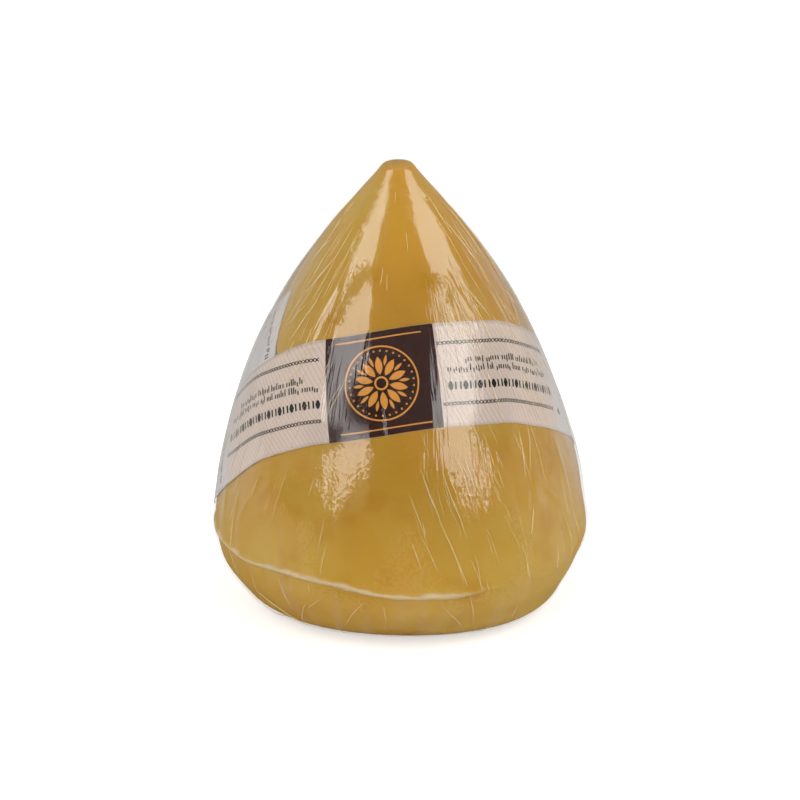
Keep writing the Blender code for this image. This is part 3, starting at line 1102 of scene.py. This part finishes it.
def build_cross_rows():
    inputs = {
        "Mark": ("Object", None),
        "Start": ("Vector", (0.0, 0.0, 0.0)),
        "Step": ("Vector", (CROSS_PITCH * MM, 0.0, 0.0)),
        "Count": ("Int", CROSSES_IN_ROW),
    }
    tree, given, made = shape_tree("cross_row", {**inputs, **DRESSED_INPUTS})
    sockets = {"Count": given["Count"], "Start Location": given["Start"], "Offset": given["Step"]}
    line = place(tree, "GeometryNodeMeshLine", sockets)
    mark = place(tree, "GeometryNodeObjectInfo", {"Object": given["Mark"]}).outputs["Geometry"]
    row = place(tree, "GeometryNodeInstanceOnPoints", {"Points": line.outputs[0], "Instance": mark})
    row = place(tree, "GeometryNodeRealizeInstances", {0: row.outputs[0]})
    finish_shape(tree, lay(tree, row.outputs[0], given), given, made, False)
    return tree


def run_way(turn):
    """The direction of a printed line that is turned by these degrees, and the direction up from it."""
    ahead = np.array((math.cos(math.radians(turn)), math.sin(math.radians(turn))))
    return ahead, np.array((-ahead[1], ahead[0]))


def joined(name, pieces):
    """One object from several, for a piece that was made in parts."""
    with bpy.context.temp_override(active_object=pieces[0], selected_editable_objects=pieces):
        bpy.ops.object.join()
    pieces[0].name = pieces[0].data.name = name
    return pieces[0]


arm = CROSS_HALF
strokes = [bar((-arm, -arm), (arm, arm), CROSS_ARM), bar((-arm, arm), (arm, -arm), CROSS_ARM)]
cross = add_object("cross_mark", ink_mesh("cross_mark", strokes))
grey_ink = ink_material("grey_green_ink", (0.014, 0.017, 0.011))
cross_tree = build_cross_rows()
cross_inputs = {**on_paper, "Mark": cross, "Count": CROSSES_IN_ROW, "Material": grey_ink}
rows = []
for along, across, turn in CROSS_ROWS:
    start = (along * MM, across * MM, 0.0)
    step = tuple(CROSS_PITCH * MM * part for part in (*run_way(turn)[0], 0.0))
    rows.append(grow("print_crosses", cross_tree, {**cross_inputs, "Start": start, "Step": step}))
crosses = joined("print_crosses", rows)
bpy.data.objects.remove(cross)

# %% [markdown]
# Small print is lines of upright ticks in uneven groups. From a step away they read as print, and
# close to they say nothing. Even groups would look like a ruler, so each group's count, gaps and
# taller ticks are drawn at random, from one fixed seed. A larger line is a row of bars and lozenges.

# %% Lines of ticks and lozenges
TICK_HALF, BAR_HALF = 0.24, 0.32
TICKS_IN_GROUP, TICK_GAPS, GROUP_GAP = (3, 9), (0.75, 1.15), 0.7
TICK_DROPS, TICK_TALLS = (0.0, 0.0, 0.0, -0.25), (0.62, 0.62, 0.62, 1.0)  # as shares of the line's height
LOZENGE_PITCH, LOZENGE_EVERY = 1.75, 3
# (along, across) of the start, length, height, and the line's turn in degrees
TICK_LINES = (
    ((-59.5, 5.6), 31.0, 2.1, LEFT_TURN), ((-67.0, 3.3), 45.0, 2.1, LEFT_TURN),
    ((28.0, 3.8), 36.0, 2.1, 0.0), ((21.5, 0.9), 44.0, 2.1, 0.0),
    ((-77.0, -13.0), 26.0, 2.2, 90.0), ((285.5, -13.0), 26.0, 2.2, 90.0),
    ((236.0, 8.5), 40.0, 1.2, 0.0), ((236.0, 12.0), 40.0, 1.2, 0.0),
    ((105.0, -6.0), 42.0, 1.4, 0.0), ((105.0, -3.0), 42.0, 1.4, 0.0),
    ((105.0, 0.0), 42.0, 1.4, 0.0), ((105.0, 3.0), 42.0, 1.4, 0.0),
)
LOZENGE_LINES = (((-69.5, -0.9), 50.0, 3.0, LEFT_TURN), ((21.0, -3.6), 50.0, 3.0, 0.0))
PRINTED_LEAF = petal((73.5, -9.4), 0.0, 0.0, 2.4, 1.2, 4)


def tick_line(draw, start, length, height, turn):
    """Groups of thin upright ticks along a line."""
    ahead, up = run_way(turn)
    strips, at = [], 0.0
    while at < length:
        for _ in range(draw.integers(*TICKS_IN_GROUP)):
            foot = np.array(start) + ahead * at + up * draw.choice(TICK_DROPS) * height
            tall = height * draw.choice(TICK_TALLS)
            strips.append(bar(foot, foot + up * tall, TICK_HALF))
            at += draw.uniform(*TICK_GAPS)
        at += GROUP_GAP
    return strips


def lozenge_line(start, length, height, turn):
    """Tall bars with a lozenge in place of every third one."""
    ahead, up = run_way(turn)
    strips = []
    for k in range(int(length / LOZENGE_PITCH)):
        foot = np.array(start) + ahead * LOZENGE_PITCH * (k + 0.5)
        if k % LOZENGE_EVERY:
            strips.append(bar(foot - up * height * 0.4, foot + up * height * 0.4, BAR_HALF))
        else:
            strips.append(petal(foot, math.radians(turn), -1.0, 1.0, height / 2, 4))
    return strips


def small_print():
    draw = np.random.default_rng(11)
    strips = [strip for line in TICK_LINES for strip in tick_line(draw, *line)]
    strips += [strip for line in LOZENGE_LINES for strip in lozenge_line(*line)]
    return [*strips, PRINTED_LEAF]


lines = grow("print_lines", ink_tree, {**on_paper, "Material": grey_ink}, ink_mesh("lines", small_print()))
bpy.data.objects.remove(guide)

# %% [markdown]
# ## The film
# Clear film is drawn tight from the tip down and gathered under the foot. It touches the cheese where
# the cheese bulges and bridges it elsewhere, so it is a smooth skin of its own just outside the
# rind. Tension pulls broad folds into it that run down from the tip. A cloth simulation makes folds
# too, but not these ones in their places. So we list the ones that show as pairs of ends, raise a
# low ridge along each, and add gentler waves between them.

# %% The film's broad folds and waves
FILM_ROWS = 150
FRONT_COLUMNS = np.linspace(-100.0, 100.0, 420, endpoint=False)
BACK_COLUMNS = np.linspace(100.0, 260.0, 220, endpoint=False)
FILM_ANGLES = np.concatenate((FRONT_COLUMNS, BACK_COLUMNS))
FILM_LIFT = 0.08
# (angle, level) of the upper end, (angle, level) of the lower end, half width, height
BROAD_FOLDS = (
    ((89.0, 132.0), (80.5, 108.0), 0.8, 0.3), ((80.5, 108.0), (71.0, 95.0), 0.8, 0.3),
    ((33.0, 117.0), (42.0, 102.0), 0.8, 0.3), ((12.5, 46.0), (20.0, 26.5), 0.8, 0.25),
    ((16.5, 61.0), (22.0, 36.0), 0.9, 0.3), ((45.5, 54.0), (40.5, 25.0), 0.9, 0.25),
    ((49.0, 54.0), (63.5, 39.5), 1.4, 0.4), ((63.5, 39.5), (66.0, 27.0), 1.4, 0.4),
    ((66.0, 61.0), (67.0, 31.0), 1.3, 0.35), ((-71.0, 46.0), (-69.5, 28.0), 1.2, 0.35),
    ((-61.5, 46.0), (-63.5, 26.0), 1.0, 0.3), ((-40.5, 59.0), (-46.5, 41.0), 0.9, 0.3),
    ((-51.0, 52.0), (-60.0, 35.0), 0.9, 0.25), ((-38.5, 111.0), (-42.5, 94.0), 1.0, 0.35),
    ((-52.5, 115.0), (-59.0, 99.0), 1.0, 0.3), ((13.0, 103.0), (11.5, 72.0), 1.6, 0.1),
    ((-4.5, 82.0), (-2.5, 70.0), 1.2, 0.3), ((-16.0, 86.0), (-20.5, 68.0), 1.3, 0.12),
)
BACK_FOLDS, BACK_SEED = 26, 5  # the side that doesn't show gets folds of the same kind, drawn at random
BACK_ANGLES, BACK_LEVELS, BACK_DROPS, BACK_LOWEST = (95.0, 265.0), (40.0, 132.0), (12.0, 34.0), 12.0
BACK_DRIFT, BACK_HALVES, BACK_HEIGHTS = 5.0, (0.6, 1.2), (0.15, 0.35)
FOLD_ENDS = (-0.08, 0.2)  # a ridge rises over this share of its length, at both ends
# (size of the lumps in millimetres, how high, how long): a number below 1 draws them out up and down
WAVES = ((15.0, 0.12, 0.2), (5.5, 0.03, 0.2), (4.5, 0.022, 0.8))
WAVE_SEED, FACET_SEED = 21, 22
FOOT_STILL = (2.0, 14.0)  # waves and facets grow from the foot over these levels
# Small dents that break the streaks of light: (angle, level, spread round, spread up, how deep)
DENTS = (
    (30.0, 132.0, 18.0, 9.0, 0.36), (-33.0, 132.0, 16.0, 9.0, 0.14), (-20.0, 108.0, 6.0, 3.2, 0.26),
    (20.0, 106.5, 6.0, 3.2, 0.26), (42.0, 118.0, 7.0, 3.0, 0.2), (-37.0, 126.0, 7.0, 2.5, 0.12),
    (-16.0, 68.0, 5.0, 4.0, 0.12),
)
FACETS, FACET_SIZE = (0.038, 0.008), 4.0  # fine unevenness: its height at the tip and at the belly, its size
COVER_LIFT = 0.1  # the film rises over the paper
COVER_EDGE = (1.6, -0.4)  # from this far outside the paper's edge to this far inside it
TAIL_RISE = ((-75.0, 72.0, 26.0, 24.0, 0.16),)  # and again where the paper's ends cross


def random_folds():
    draw = np.random.default_rng(BACK_SEED)
    folds = []
    for _ in range(BACK_FOLDS):
        angle, level, drop = draw.uniform(*BACK_ANGLES), draw.uniform(*BACK_LEVELS), draw.uniform(*BACK_DROPS)
        end = (angle + draw.normal(0.0, BACK_DRIFT), max(level - drop, BACK_LOWEST))
        folds.append(((angle, level), end, draw.uniform(*BACK_HALVES), draw.uniform(*BACK_HEIGHTS)))
    return folds


def fold_height(angle, level, fold):
    """The ridge of one fold: it follows the line between its ends and fades out towards both."""
    (angle_up, level_up), (angle_down, level_down), half_width, height = fold
    share = (level_up - level) / (level_up - level_down)
    middle = angle_up + (angle_down - angle_up) * share
    off = (angle - middle + 180.0) % 360.0 - 180.0
    away = np.radians(off) * drop_radius(level)
    fade = smoothstep(*FOLD_ENDS, share) * smoothstep(*FOLD_ENDS, 1.0 - share)
    return height * fade * bump(away, 0.0, half_width)


def band_cover(angle, level):
    """1 where the paper lies under the film, falling to 0 just outside its edges."""
    cover = np.zeros(np.shape(angle))
    for turn in (0.0, 360.0):
        station = angle + turn
        rise = length_at(band_height(station + 1.0)) - length_at(band_height(station - 1.0))
        steep = rise / (np.radians(2.0) * drop_radius(band_height(station)))
        across = np.abs(length_at(level) - length_at(band_height(station))) / np.sqrt(1.0 + steep**2)
        on_strip = (station > BAND_START - 1.0) & (station < BAND_END + 1.0)
        outside, inside = (BAND_WIDTH / 2 + edge for edge in COVER_EDGE)
        cover = np.maximum(cover, on_strip * smoothstep(outside, inside, across))
    return cover


def film_rings(angles):
    """The film's points at these angles, for each of its rows. Returns also the grid of angles and levels."""
    angles, levels = np.broadcast_arrays(angles[None, :], even_levels(FILM_ROWS)[:, None])
    lift = FILM_LIFT + COVER_LIFT * band_cover(angles, levels)
    lift = lift + spots_at(angles, levels, TAIL_RISE) - spots_at(angles, levels, DENTS)
    lift = lift + sum(fold_height(angles, levels, fold) for fold in (*BROAD_FOLDS, *random_folds()))
    rings = surface(angles, levels, lift)
    pulled, slim = lay_of(rings), drop_radius(levels) / LAY_RADIUS
    wave = sum(high * soft_noise(pulled * (1.0, 1.0, drawn), size, WAVE_SEED) for size, high, drawn in WAVES)
    facets = soft_noise(rings / MM, FACET_SIZE, FACET_SEED) * (FACETS[0] + (FACETS[1] - FACETS[0]) * slim)
    uneven = (wave * slim**1.5 + facets) * smoothstep(*FOOT_STILL, levels)
    rings += unit(rings) * (uneven * MM)[..., None]
    rings[..., 2] = np.maximum(rings[..., 2], 0.0)
    return rings, angles, levels


print(f"film: {FILM_ROWS} rows of {len(FILM_ANGLES)} points, {len(BROAD_FOLDS) + BACK_FOLDS} broad folds")

# %% [markdown]
# Where the film is only just wrinkled, its creases are finer than any mesh that we could afford. So
# numbers stored at its points say how the film lies there, and the material turns them into relief
# and shine: how much it is crumpled into upright creases, how much it is pebbled, where it sticks
# flat, where it covers the paper, and where it is loose instead of clinging to the rind. We give
# them as soft spots, most of them over an even low value.

# %% The film's skin
# (angle, level, spread round, spread up, how strong)
CRUMPLES = (
    (12.0, 56.0, 7.0, 14.0, 0.6), (31.0, 66.0, 6.0, 8.0, 0.5), (38.0, 105.0, 10.0, 9.0, 0.4),
    (24.0, 106.0, 8.0, 6.0, 0.4), (28.0, 84.0, 10.0, 14.0, 0.25), (-24.0, 86.0, 9.0, 14.0, 0.35),
    (73.5, 82.0, 5.0, 8.0, 1.0), (-38.0, 106.0, 8.0, 9.0, 0.1), (60.0, 90.0, 18.0, 22.0, 0.15),
)
PEBBLES = (
    (-22.0, 58.0, 12.0, 12.0, 0.1), (24.0, 54.0, 10.0, 12.0, 0.11), (-27.0, 118.0, 8.0, 6.0, 0.05),
    (27.0, 112.0, 9.0, 6.0, 0.06), (73.5, 82.0, 4.5, 7.5, 0.5),
)
# Where it sticks flat to the rind and mirrors little, which breaks the streaks of light
STUCK = (
    (-19.0, 117.0, 12.0, 3.2, 1.0), (19.0, 115.0, 12.0, 3.4, 1.0), (31.0, 110.0, 4.0, 3.0, 0.8),
    (-3.0, 60.0, 8.2, 14.0, 1.2), (-17.0, 35.0, 14.0, 15.3, 1.3), (-34.0, 50.0, 7.0, 6.0, 1.4),
    (-9.0, 50.0, 7.0, 7.0, 1.4), (-28.0, 69.5, 8.0, 5.5, 1.4), (24.0, 34.0, 18.0, 14.0, 1.4),
    (36.0, 71.0, 8.0, 7.0, 1.4), (10.0, 52.0, 6.0, 9.0, 1.4), (22.0, 54.0, 12.0, 13.0, 0.34),
    (-12.5, 82.0, 9.0, 9.0, 1.3), (43.0, 88.0, 15.0, 13.0, 1.0), (-26.0, 112.5, 5.0, 3.0, 1.0),
    (-31.0, 106.0, 4.5, 5.0, 1.0),
)
COMES_LOOSE, CLINGS_AGAIN = (20.0, 64.0), (104.0, 132.0)  # over these levels, from the foot up
CALM_CRUMPLED, CALM_PEBBLED = 0.05, 0.011  # how crumpled and pebbled the film is everywhere else


def build_film(material):
    rings, angles, levels = film_rings(FILM_ANGLES)
    points, faces = close_skin(rings)
    piece = add_mesh("film", points, faces, material)
    give_attribute(piece, "lay", lay_of(points), "FLOAT_VECTOR")
    turned = (angles + 180.0) % 360.0 - 180.0
    slim = drop_radius(levels) / LAY_RADIUS
    give_field(piece, "crumpled", CALM_CRUMPLED * slim**2.5 + spots_at(turned, levels, CRUMPLES))
    give_field(piece, "pebbled", CALM_PEBBLED / slim + spots_at(turned, levels, PEBBLES))
    give_field(piece, "stuck", spots_at(turned, levels, STUCK))
    give_field(piece, "covered", band_cover(turned, levels))
    give_field(piece, "loose", smoothstep(*COMES_LOOSE, levels) * (1.0 - smoothstep(*CLINGS_AGAIN, levels)))
    return piece


# %% [markdown]
# Film both mirrors and shows what is behind it. A glass shader on so thin a sheet would bend the light
# twice and darken the cheese, so we work out how much of the film is seen at all. The share of
# mirror grows towards the edge, which a Fresnel node gives, and a thin sheet mirrors on its two
# faces, so that share is nearly doubled. It stays low where the film clings, and a spot that is
# stuck flat mirrors hardly anything. The same Principled node also carries the faint milky haze of
# stretched film: where the mask is haze the node is a pale plain surface, where it is mirror it is
# a metal, and Alpha is the sum of both.

# %% The film's finish
FILM_INDEX = 1.5
MIRROR_FACES, MIRROR_MOST = 1.62, 0.42
CLUNG_MOST = 0.08  # where the film clings to the rind its mirror doesn't grow towards the edge
GRIPPED = grey(0.12)  # how much a stuck spot still mirrors
GRIP_GRAIN = (0.0009, 0.3, 0.7)  # how ragged a stuck spot is on the rind
GRIP_STEEP, PAPER_START, PAPER_STEEP = 4.0, 0.35, 1.4  # how sharp its edge is there, and over the paper
REACH_MORE, REACH_LESS = 1.4, 0.2  # so that the faint rim of a spot grips nothing
# The pleats' haze is a bright warm yellow: a painted highlight that stands in for the glints along them.
HAZE_COLOUR, PLEAT_GLINT_COLOUR = (0.65, 0.58, 0.49, 1.0), (0.9, 0.71, 0.32, 1.0)
HAZE_FACING, HAZE_EDGE, HAZE_STREAKS = 0.006, 0.25, 0.09
MILKY_STREAKS, STREAK_SQUEEZE = (4.0, 0.45, 0.7), (1.0, 1.0, 0.12)
CRINKLE_DEPTH = 0.0009


def crinkled_normal(tree, lay_place, depth):
    sockets = {"Lay": lay_place, "Place": object_place(tree)}
    amounts = {"Streaks": attribute(tree, "crumpled"), "Pebbles": attribute(tree, "pebbled")}
    return relief_normal(tree, use_group(tree, crinkles, {**sockets, **amounts}), depth)


def mirror_share(tree, normal, loose, most):
    """How much of the light the film mirrors: more towards the edge, but little where it clings."""
    fresnel = place(tree, "ShaderNodeFresnel", {"IOR": FILM_INDEX, "Normal": normal}).outputs[0]
    mirror = math_node(tree, "MINIMUM", math_node(tree, "MULTIPLY", fresnel, MIRROR_FACES), most)
    return mix_values(tree, loose, math_node(tree, "MINIMUM", mirror, CLUNG_MOST), mirror)


def gripped_share(tree):
    """1 where the film is stuck flat: in ragged spots on the rind, in soft ones over the paper."""
    grain = cloudy(tree, object_place(tree), *GRIP_GRAIN)
    covered = attribute(tree, "covered")
    start = mix_values(tree, covered, grain, PAPER_START)
    steep = mix_values(tree, covered, GRIP_STEEP, PAPER_STEEP)
    reach = math_node(tree, "MULTIPLY", attribute(tree, "stuck"), REACH_MORE)
    reach = math_node(tree, "SUBTRACT", reach, REACH_LESS)
    return math_node(tree, "MULTIPLY", math_node(tree, "SUBTRACT", reach, start), steep, clamp=True)


def haze_share(tree, lay_place, loose, haze_facing, haze_edge):
    """How milky the film is: a little everywhere, more towards the edge, and in upright streaks."""
    facing = place(tree, "ShaderNodeLayerWeight", {"Blend": 0.5}).outputs["Facing"]
    edge = math_node(tree, "MULTIPLY", math_node(tree, "POWER", facing, 4.0), haze_edge)
    edge = math_node(tree, "MULTIPLY", edge, loose)
    streaks = cloudy(tree, vector_node(tree, "MULTIPLY", lay_place, STREAK_SQUEEZE), *MILKY_STREAKS)
    streaks = math_node(tree, "MULTIPLY", math_node(tree, "MULTIPLY", streaks, facing), HAZE_STREAKS)
    return math_node(tree, "ADD", math_node(tree, "ADD", edge, streaks), haze_facing)


def film_material(name, haze_colour, haze_facing, haze_edge, crinkle_depth, mirror_most):
    material, tree, shader = new_material(name, Roughness=0.025)
    lay_place, loose = attribute(tree, "lay", "Vector"), attribute(tree, "loose")
    normal = crinkled_normal(tree, lay_place, crinkle_depth)
    mirror = mirror_share(tree, normal, loose, mirror_most)
    haze = haze_share(tree, lay_place, loose, haze_facing, haze_edge)
    solid = math_node(tree, "ADD", mirror, haze, clamp=True)
    metal = math_node(tree, "DIVIDE", mirror, solid)
    colour = mix_colours(tree, metal, haze_colour, grey(1.0))
    colour = mix_colours(tree, gripped_share(tree), colour, GRIPPED)
    feed(tree, shader, Base_Color=colour, Metallic=metal, Alpha=solid, Normal=normal)
    return material


clear_film = film_material("clear_film", HAZE_COLOUR, HAZE_FACING, HAZE_EDGE, CRINKLE_DEPTH, MIRROR_MOST)
film = build_film(clear_film)
print("film:", len(film.data.polygons), "faces")

# %% [markdown]
# ## Pleats in the film
# Between the folds the film gathers into hair-thin pleats. Relief alone would leave them without an
# edge to catch the light, so each is a thin tapered thread of film, half sunk in the skin. Like the
# print they are drawn flat first, on a map of the film where one degree and one millimetre of height
# are both a millimetre, and the same group lays them on it. Some follow a list of lines; the rest
# are scattered by Geometry Nodes.

# %% The map of the film, and the pleats that are listed
MAP_COLUMNS, MAP_ANGLES = 700, (-195.0, 195.0)
MAP_MIDDLE = (0.5, 0.0)
THREAD_POINT = 0.002  # keeps a thread's ends from shrinking to nothing
PLEAT_GLINT_HAZE, PLEAT_MIRROR = 0.2, 0.035  # how much of a pleat is milky haze, painted bright and warm in place of its glints, and how much it mirrors at most
# (angle, level) of one end and of the other, half width in the middle
SHARP_FOLDS = (
    ((55.5, 130.5), (67.0, 111.5), 0.2), ((80.0, 132.8), (76.5, 114.0), 0.15),
    ((41.0, 113.8), (52.5, 101.2), 0.2), ((67.5, 103.8), (71.5, 95.0), 0.24),
    ((39.0, 122.0), (43.5, 116.0), 0.13), ((40.7, 122.0), (45.2, 116.0), 0.13),
    ((75.5, 107.0), (83.0, 99.5), 0.3), ((35.5, 109.2), (41.5, 101.0), 0.15),
    ((31.5, 104.0), (38.0, 92.0), 0.18), ((38.0, 92.0), (41.5, 72.0), 0.18),
    ((7.0, 62.5), (12.5, 46.0), 0.24), ((12.0, 47.0), (20.0, 26.5), 0.18),
    ((14.5, 61.0), (20.5, 40.0), 0.21), ((47.5, 69.0), (45.5, 54.0), 0.24),
    ((52.5, 68.0), (48.0, 55.0), 0.18), ((46.5, 44.5), (44.0, 37.0), 0.24),
    ((3.5, 40.5), (6.5, 32.0), 0.18), ((7.0, 46.5), (8.2, 41.5), 0.21),
    ((16.0, 37.0), (21.0, 26.0), 0.15), ((21.0, 26.0), (26.0, 7.0), 0.15),
    ((12.5, 22.0), (22.0, 8.0), 0.18), ((-10.0, 21.0), (-19.5, 8.0), 0.15),
    ((-24.0, 19.0), (-31.0, 13.0), 0.15), ((-31.0, 15.0), (-38.5, 5.0), 0.18),
    ((-54.0, 13.5), (-36.0, 3.0), 0.24), ((-10.0, 119.0), (-10.5, 114.0), 0.15),
    ((-37.0, 113.2), (-42.5, 98.0), 0.45), ((-48.5, 107.2), (-56.0, 93.5), 0.24),
    ((-54.0, 105.5), (-64.0, 96.0), 0.2), ((-48.5, 121.0), (-60.5, 107.0), 0.24),
    ((-66.0, 124.0), (-74.0, 116.5), 0.24), ((-71.0, 134.5), (-74.0, 130.0), 0.15),
    ((-72.0, 129.0), (-71.5, 125.5), 0.15), ((-38.5, 96.0), (-50.0, 80.0), 0.18),
    ((-21.5, 87.0), (-26.5, 76.5), 0.18), ((-23.0, 86.0), (-27.5, 78.0), 0.15),
    ((-29.5, 92.0), (-33.0, 84.0), 0.18),
)


def build_map():
    """The film's skin as one open sheet with its map of degrees and millimetres as UVs."""
    rings, angles, levels = film_rings(np.linspace(*MAP_ANGLES, MAP_COLUMNS))
    sheet = add_mesh("film_map", rings, grid_faces(FILM_ROWS, MAP_COLUMNS), None)
    give_uv(sheet, np.stack((angles, levels), axis=-1).reshape(-1, 2) / SHEET_MM + MAP_MIDDLE)
    return sheet


def line_mesh(name, lines, cells=8):
    """Loose polylines on the map, with the half width stored at each point."""
    points = np.concatenate([np.linspace(start, end, cells + 1) for start, end, _ in lines])
    edges = [(k, k + 1) for k in range(len(points) - 1) if (k + 1) % (cells + 1)]
    mesh = bpy.data.meshes.new(name)
    mesh.from_pydata([(x * MM, y * MM, 0.0) for x, y in points], edges, [])
    thick = mesh.attributes.new("thick", "FLOAT", "POINT")
    thick.data.foreach_set("value", np.repeat([half for _, _, half in lines], cells + 1) * MM)
    return mesh


def thicken(tree, lines, given):
    """Bends flat lines a little, lays them on the film and gives them a tapered round section."""
    spot = place(tree, "GeometryNodeInputPosition").outputs[0]
    drift = place(tree, "ShaderNodeTexNoise", {"Vector": spot, "Scale": given["Drift Scale"], "Detail": 1.0})
    drift = vector_node(tree, "SUBTRACT", drift.outputs["Color"], (0.5, 0.5, 0.5))
    drift = vector_node(tree, "MULTIPLY", drift, combine(tree, given["Drift"], given["Drift"], 0.0))
    bent = place(tree, "GeometryNodeSetPosition", {"Geometry": lines, "Offset": drift}).outputs[0]
    laid = lay(tree, bent, given)
    along = place(tree, "GeometryNodeSplineParameter").outputs["Factor"]
    swell = math_node(tree, "SINE", math_node(tree, "MULTIPLY", along, math.pi))
    swell = math_node(tree, "POWER", math_node(tree, "MAXIMUM", swell, THREAD_POINT), 0.6)
    thick = math_node(tree, "MULTIPLY", swell, stored_value(tree, "thick"))
    section = place(tree, "GeometryNodeCurvePrimitiveCircle", {"Resolution": 6, "Radius": 1.0}).outputs[0]
    sockets = {"Curve": laid, "Profile Curve": section, "Scale": thick, "Fill Caps": True}
    return place(tree, "GeometryNodeCurveToMesh", sockets).outputs[0]


PLEAT_INPUTS = {**DRESSED_INPUTS, "Drift": ("Float", 0.0015), "Drift Scale": ("Float", 90.0)}


def build_lay_folds():
    tree, given, made = shape_tree("lay_folds", PLEAT_INPUTS)
    curves = place(tree, "GeometryNodeMeshToCurve", {0: given["Geometry"]}).outputs[0]
    finish_shape(tree, thicken(tree, curves, given), given, made, True)
    return tree


film_map = build_map()
# The pleats' material paints their glints as bright warm haze.
pleated_film = film_material("pleated_film", PLEAT_GLINT_COLOUR, PLEAT_GLINT_HAZE, 0.0, 0.0, PLEAT_MIRROR)
on_film = {"Sheet": film_map, "Middle": (*MAP_MIDDLE, 0.0), "Material": pleated_film}
folds = grow("film_folds", build_lay_folds(), on_film, line_mesh("folds", SHARP_FOLDS))

# %% [markdown]
# To list every other pleat would take long and look no better. The scattered ones start
# from a flat mesh with one rectangle for each patch. The rectangle carries how crowded its pleats
# are, how long, and how far they slant from upright. The tree scatters points by that crowding,
# puts a short line on each, and then treats them as above.

# %% The pleats that are scattered
# (angles, levels, how many, slant in degrees, mean length in millimetres)
PLEAT_PATCHES = (
    ((44.0, 90.0), (98.0, 132.0), 24, 14.0, 15.0), ((22.0, 46.0), (98.0, 112.0), 26, 18.0, 6.0),
    ((20.0, 84.0), (72.0, 104.0), 44, 20.0, 12.0), ((9.0, 38.0), (48.0, 73.0), 46, 14.0, 9.0),
    ((3.0, 42.0), (24.0, 50.0), 12, 18.0, 12.0), ((40.0, 86.0), (22.0, 72.0), 17, 10.0, 14.0),
    ((-80.0, -30.0), (92.0, 124.0), 34, -10.0, 14.0), ((-76.0, -26.0), (62.0, 94.0), 12, -20.0, 10.0),
    ((-84.0, -22.0), (14.0, 60.0), 16, -12.0, 14.0), ((-20.0, 30.0), (108.0, 140.0), 5, 0.0, 6.0),
    ((-60.0, 60.0), (3.0, 22.0), 16, 0.0, 7.0), ((92.0, 184.0), (6.0, 130.0), 90, 4.0, 14.0),
    ((-176.0, -92.0), (6.0, 130.0), 90, -4.0, 14.0),
)
PLEAT_THICK = (0.06, 0.15)  # half width, from the thinnest to the thickest
LENGTH_SHARES = (0.35, 1.5)  # how long one is, as a share of its patch's mean
TURN_MOST = 0.14  # how far one may turn from its patch's slant, in radians
PLEAT_SEED = 3


def patch_mesh():
    """One flat rectangle for each patch, with its crowding, slant and length stored on it."""
    points, faces, crowding, slants, lengths = [], [], [], [], []
    for (left, right), (low, high), count, slant, length in PLEAT_PATCHES:
        faces.append(tuple(range(len(points), len(points) + 4)))
        points += [(left * MM, low * MM, 0.0), (right * MM, low * MM, 0.0)]
        points += [(right * MM, high * MM, 0.0), (left * MM, high * MM, 0.0)]
        crowding.append(count / ((right - left) * (high - low) * MM * MM))
        slants.append(math.radians(slant))
        lengths.append(length * MM)
    mesh = bpy.data.meshes.new("patches")
    mesh.from_pydata(points, [], faces)
    for name, values in (("crowding", crowding), ("slant", slants), ("length", lengths)):
        mesh.attributes.new(name, "FLOAT", "FACE").data.foreach_set("value", values)
    return mesh


def build_pleat_tree():
    tree, given, made = shape_tree("scatter_pleats", {**PLEAT_INPUTS, "Seed": ("Int", PLEAT_SEED)})

    def between(low, high, more):
        seed = math_node(tree, "ADD", given["Seed"], more)
        sockets = {"Min_001": low, "Max_001": high, "Seed": seed}
        return place(tree, "FunctionNodeRandomValue", sockets, data_type="FLOAT").outputs[1]

    sockets = {"Mesh": given["Geometry"], "Density": stored_value(tree, "crowding"), "Seed": given["Seed"]}
    scattered = place(tree, "GeometryNodeDistributePointsOnFaces", sockets, distribute_method="RANDOM")
    sockets = {"Start": (0.0, 0.5, 0.0), "End": (0.0, -0.5, 0.0)}
    upright = place(tree, "GeometryNodeCurvePrimitiveLine", sockets).outputs[0]
    upright = place(tree, "GeometryNodeResampleCurve", {"Curve": upright, "Count": 10}).outputs[0]
    turn = math_node(tree, "ADD", stored_value(tree, "slant"), between(-TURN_MOST, TURN_MOST, 1))
    length = math_node(tree, "MULTIPLY", stored_value(tree, "length"), between(*LENGTH_SHARES, 2))
    sockets = {
        "Points": scattered.outputs["Points"],
        "Instance": upright,
        "Rotation": combine(tree, 0.0, 0.0, turn),
        "Scale": combine(tree, 1.0, length, 1.0),
    }
    lines = place(tree, "GeometryNodeInstanceOnPoints", sockets).outputs[0]
    thin, stout = (half * MM for half in PLEAT_THICK)
    sockets = {"Geometry": lines, "Name": "thick", "Value": between(thin, stout, 4)}
    kinds = {"data_type": "FLOAT", "domain": "INSTANCE"}
    lines = place(tree, "GeometryNodeStoreNamedAttribute", sockets, **kinds).outputs[0]
    lines = place(tree, "GeometryNodeRealizeInstances", {0: lines}).outputs[0]
    finish_shape(tree, thicken(tree, lines, given), given, made, True)
    return tree


pleats = grow("film_pleats", build_pleat_tree(), {**on_film, "Seed": PLEAT_SEED}, patch_mesh())
bpy.data.objects.remove(film_map)

# %% [markdown]
# ## What moves with what
# Nothing on this object moves, so every piece rides on its one body. The rind and the film stand for
# the solid cheese, and the paper with its print stands for the solid band.

# %% Hand the pieces over
for piece in (cheese, film, folds, pleats):
    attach(piece, "root")
for piece in (cheese, film):
    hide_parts("cheese")
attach(paper, "root")
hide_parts("label_band")
for piece in (panel, emblem, crosses, lines):
    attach(piece, "root")
